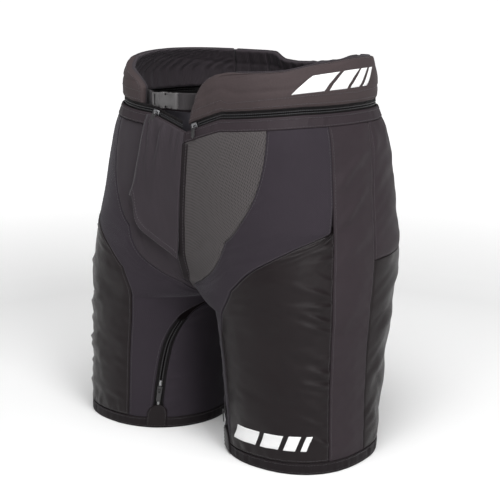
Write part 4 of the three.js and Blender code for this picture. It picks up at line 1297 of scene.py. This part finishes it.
def finishedCopy(node, name, material, body, bevel, segments=3):
    # the CAD solid with its doubles merged and its edges rounded
    mesh = frame["nodes"][node].data.copy()
    bm = bmesh.new()
    bm.from_mesh(mesh)
    bmesh.ops.remove_doubles(bm, verts=bm.verts, dist=1e-6)
    bmesh.ops.dissolve_limit(bm, angle_limit=0.02, verts=bm.verts, edges=bm.edges)
    bm.to_mesh(mesh)
    bm.free()
    mesh.name = name
    mesh.materials.clear()
    mesh.materials.append(paint[material])
    piece = bpy.data.objects.new(name, mesh)
    scene.collection.objects.link(piece)
    modifier = piece.modifiers.new("round", "BEVEL")
    modifier.width, modifier.segments, modifier.limit_method = bevel, segments, "ANGLE"
    modifier.angle_limit = math.radians(35)
    modifier.harden_normals = True
    made = bpy.data.meshes.new_from_object(piece.evaluated_get(bpy.context.evaluated_depsgraph_get()))
    bpy.data.objects.remove(piece)
    made.name = name
    made.polygons.foreach_set("use_smooth", np.ones(len(made.polygons), bool))
    piece = bpy.data.objects.new(name, made)
    scene.collection.objects.link(piece)
    return settle(piece, body, [node])


hardware = dict(housing=0.0007, insert=0.0005, arm=0.00045, slider=0.00035, pull=0.0003)
for half in ("housing", "insert"):
    finishedCopy(f"buckle_{half}", f"buckle_{half}_body", "buckle_plastic", "pants", hardware[half])
for side in ("upper", "lower"):
    finishedCopy(f"{side}_buckle_arm", f"{side}_buckle_arm_body", "buckle_plastic", f"{side}_buckle_arm",
                 hardware["arm"])
for side in ("left", "right"):
    for zipName in ("waist", "thigh"):
        metal = "zip_metal" if zipName == "waist" else "dark_metal"  # the thigh sliders are blackened
        finishedCopy(f"{side}_{zipName}_zip_slider", f"{side}_{zipName}_slider_body", metal,
                     f"{side}_{zipName}_slider", hardware["slider"])
        finishedCopy(f"{side}_{zipName}_zip_pull", f"{side}_{zipName}_pull_tab", "dark_metal",
                     f"{side}_{zipName}_pull", hardware["pull"])


underlayLook = dict(span=(-1.18, 0.62), gap=0.00035, below=0.042, underStrap=0.003, thick=0.0012, step=0.0024)


def underlay():
    # the knit panel behind the buckle, inside the belt
    top = belt["inside"] + underlayLook["gap"]

    def place(s, t):
        q = mix(*underlayLook["span"], s)
        u = -2 + np.abs(q)
        point, normal = beltPoint(u, 0 * u, top), outward(u, waist, level=True)
        sign = np.where(q < 0, -1, 1)
        point[..., 0] *= sign
        normal[..., 0] *= sign
        high = strap["z"] - strap["width"] / 2 - underlayLook["underStrap"]
        point[..., 2] = mix(waist - underlayLook["below"], high, t)
        return point, normal

    def relief(grid):
        return (ripple(grid.x, grid.y, np.random.default_rng(112), 0.0005, 0.03, 0.2)
                * smooth(0, 0.004, grid.inside()) - 0.0002)

    strip("front_underlay", "left", place, 0.2, 0.05, relief, underlayLook["thick"], "underlay_knit",
          ["front_underlay"], step=underlayLook["step"], edge=0.0006)


underlay()
print("strap, buckle and zip sliders done")


# pads behind the shell

padLook = dict(voxel=0.0045, pressure=3.0, frames=12, cap=0.0012)


def softPad(node, name):
    # foam blown up a little from the CAD solid's own shape
    mesh = frame["nodes"][node].data.copy()
    bm = bmesh.new()
    bm.from_mesh(mesh)
    bmesh.ops.remove_doubles(bm, verts=bm.verts, dist=1e-6)
    bm.to_mesh(mesh)
    bm.free()
    mesh.materials.clear()
    piece = bpy.data.objects.new(name, mesh)
    scene.collection.objects.link(piece)
    remesh = piece.modifiers.new("voxels", "REMESH")
    remesh.mode, remesh.voxel_size = "VOXEL", padLook["voxel"]
    shrink = piece.modifiers.new("settle", "SMOOTH")
    shrink.factor, shrink.iterations = 0.5, 3
    made = bpy.data.meshes.new_from_object(piece.evaluated_get(bpy.context.evaluated_depsgraph_get()))
    bpy.data.objects.remove(piece)
    piece = bpy.data.objects.new(name, made)
    made.name = name
    scene.collection.objects.link(piece)
    start = np.zeros(len(made.vertices) * 3, np.float32)
    made.vertices.foreach_get("co", start)
    cloth = piece.modifiers.new("cloth", "CLOTH")
    cloth.settings.quality = 4
    cloth.settings.use_pressure = True
    cloth.settings.uniform_pressure_force = padLook["pressure"]
    cloth.settings.effector_weights.gravity = 0
    cloth.collision_settings.use_collision = False
    cloth.point_cache.frame_end = padLook["frames"]
    for step in range(1, padLook["frames"] + 1):
        scene.frame_set(step)
    found = np.zeros_like(start)
    piece.evaluated_get(bpy.context.evaluated_depsgraph_get()).data.vertices.foreach_get("co", found)
    piece.modifiers.remove(cloth)
    scene.frame_set(1)
    moved = (found - start).reshape(-1, 3)
    far = np.linalg.norm(moved, axis=1, keepdims=True)
    moved *= np.minimum(1, padLook["cap"] / np.maximum(far, 1e-9))
    made.vertices.foreach_set("co", (start.reshape(-1, 3) + moved).astype(np.float32).ravel())
    fine = piece.modifiers.new("fine", "SUBSURF")
    fine.levels = fine.render_levels = 1
    final = bpy.data.meshes.new_from_object(piece.evaluated_get(bpy.context.evaluated_depsgraph_get()))
    bpy.data.objects.remove(piece)
    final.name = name
    final.materials.append(paint["foam"])
    final.polygons.foreach_set("use_smooth", np.ones(len(final.polygons), bool))
    piece = bpy.data.objects.new(name, final)
    scene.collection.objects.link(piece)
    settle(piece, nodes=[node])


for node in ("left_thigh_foam", "right_thigh_foam", "left_hip_foam", "right_hip_foam", "tail_foam"):
    softPad(node, node + "_pad")
for side in ("left", "right"):
    cap = frame["nodes"][f"{side}_thigh_cap"]
    cap.data.materials.clear()
    cap.data.materials.append(paint["pad_cap"])
print("pads done")


# plain white bars printed on the cloth

def barPrint(name, skin, centre, bars, tall, slant, side="left"):
    # slanted bars laid on a finished face; centre is (x, y) in metres along it
    grid, outer = skins[skin]
    xs, ys = grid.x[len(grid.t) // 2], grid.y[:, len(grid.s) // 2]

    def on(x, y):
        i = np.clip(np.searchsorted(xs, x) - 1, 0, len(xs) - 2)
        j = np.clip(np.searchsorted(ys, y) - 1, 0, len(ys) - 2)
        a = ((x - xs[i]) / (xs[i + 1] - xs[i]))[..., None]
        b = ((y - ys[j]) / (ys[j + 1] - ys[j]))[..., None]

        def blend(field):
            return ((field[j, i] * (1 - a) + field[j, i + 1] * a) * (1 - b)
                    + (field[j + 1, i] * (1 - a) + field[j + 1, i + 1] * a) * b)

        return blend(outer), blend(grid.normals)

    left = centre[0]
    for number, (wide, gap) in enumerate(bars):
        s, t = np.meshgrid(np.linspace(0, 1, max(3, int(wide / 0.0015) + 1)), np.linspace(0, 1, 13))
        y = centre[1] + (t - 0.5) * tall
        x = left + s * wide + (t - 0.5) * slant
        points, normals = on(x, y)
        uv = np.stack([x, y], -1)
        piece = closedPlate(f"{name}_{number + 1}", points + normals * 0.0004, points - normals * 0.0001, uv,
                            [paint["print_white"]], flip=side == "right")
        settle(piece)
        left += wide + gap


bars = dict(belt=[(0.0400, 0.0075), (0.0280, 0.0075), (0.0170, 0.0075), (0.0090, 0.0)],
            thigh=[(0.0370, 0.0070), (0.0260, 0.0070), (0.0160, 0.0070), (0.0080, 0.0)])
barPrint("belt_bars", "left_belt_pad", (0.139, 0.0315), bars["belt"], 0.0245, 0.012)
barPrint("thigh_bars", "left_thigh_panel", (0.018, 0.024), bars["thigh"], 0.0180, 0.009)
print("bars printed")


# floor, light and camera

studio = dict(floor=(0.86, 0.86, 0.86), glow=(0.05, 0.86), glowFrom=(0.7, 2.2), world=0.2,
              azimuth=39, elevation=13, distance=1.5, focal=84.05, look=(0, 0.0057, 0.220))


def floorSheet():
    # a round floor whose far rim stands up, so that every view ends in it
    ring = np.array([(0.001, 0.0), (60.0, 0.0), (62.0, 6.0)])
    turn = np.linspace(0, 2 * np.pi, 65)
    points = np.stack([ring[:, :1] * np.cos(turn), ring[:, :1] * np.sin(turn), ring[:, 1:] + 0 * turn], -1)
    index = np.arange(points[..., 0].size).reshape(points.shape[:2])
    faces = np.stack([index[:-1, :-1], index[1:, :-1], index[1:, 1:], index[:-1, 1:]], -1).reshape(-1, 4)
    material, tree, bsdf = nodeTree("studio_floor", studio["floor"], 0.9, Specular_IOR_Level=0.1)
    place = add(tree, "ShaderNodeTexCoord").outputs["Object"]
    away = add(tree, "ShaderNodeVectorMath", {0: place}, operation="LENGTH").outputs["Value"]
    glow = add(tree, "ShaderNodeMapRange", {  # the far floor has a light of its own
        "Value": away, "From Min": studio["glowFrom"][0], "From Max": studio["glowFrom"][1],
        "To Min": studio["glow"][0], "To Max": studio["glow"][1]}).outputs[0]
    bsdf.inputs["Emission Color"].default_value = (1, 1, 1, 1)
    tree.links.new(glow, bsdf.inputs["Emission Strength"])
    piece = meshPiece("studio_floor", points, faces, materials=[material])
    piece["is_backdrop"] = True


floorSheet()
world = bpy.data.worlds.new("studio")
scene.world = world
world.use_nodes = True
world.node_tree.nodes["Background"].inputs["Color"].default_value = (1, 1, 1, 1)
world.node_tree.nodes["Background"].inputs["Strength"].default_value = studio["world"]


def softLight(name, place, size, power, aim=(0, 0, 0.25)):
    light = bpy.data.lights.new(name, "AREA")
    light.shape, light.size, light.size_y, light.energy = "RECTANGLE", *size, power
    lamp = bpy.data.objects.new(name, light)
    lamp.location = place
    lamp.rotation_euler = (Vector(aim) - Vector(place)).to_track_quat("-Z", "Y").to_euler()
    scene.collection.objects.link(lamp)


softLight("top_box", (0.5, -0.7, 2.5), (1.6, 1.6), 62)
softLight("right_box", (2.3, -1.1, 1.4), (1.0, 1.6), 36)
softLight("front_box", (0.9, -2.4, 1.6), (1.2, 1.0), 2)

turn, rise = math.radians(studio["azimuth"]), math.radians(studio["elevation"])
back = Vector((math.sin(turn) * math.cos(rise), -math.cos(turn) * math.cos(rise), math.sin(rise)))
lens = bpy.data.cameras.new("camera")
lens.lens, lens.sensor_width = studio["focal"], 36
lens.shift_x, lens.shift_y = 0.003, 0.004
camera = bpy.data.objects.new("camera", lens)
camera.location = Vector(studio["look"]) + back * studio["distance"]
camera.rotation_euler = (-back).to_track_quat("-Z", "Y").to_euler()
scene.collection.objects.link(camera)
scene.camera = camera
scene.view_settings.view_transform = "Standard"

low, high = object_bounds()
print("object", [round((b - a) * 1000, 1) for a, b in zip(low, high)], "mm")
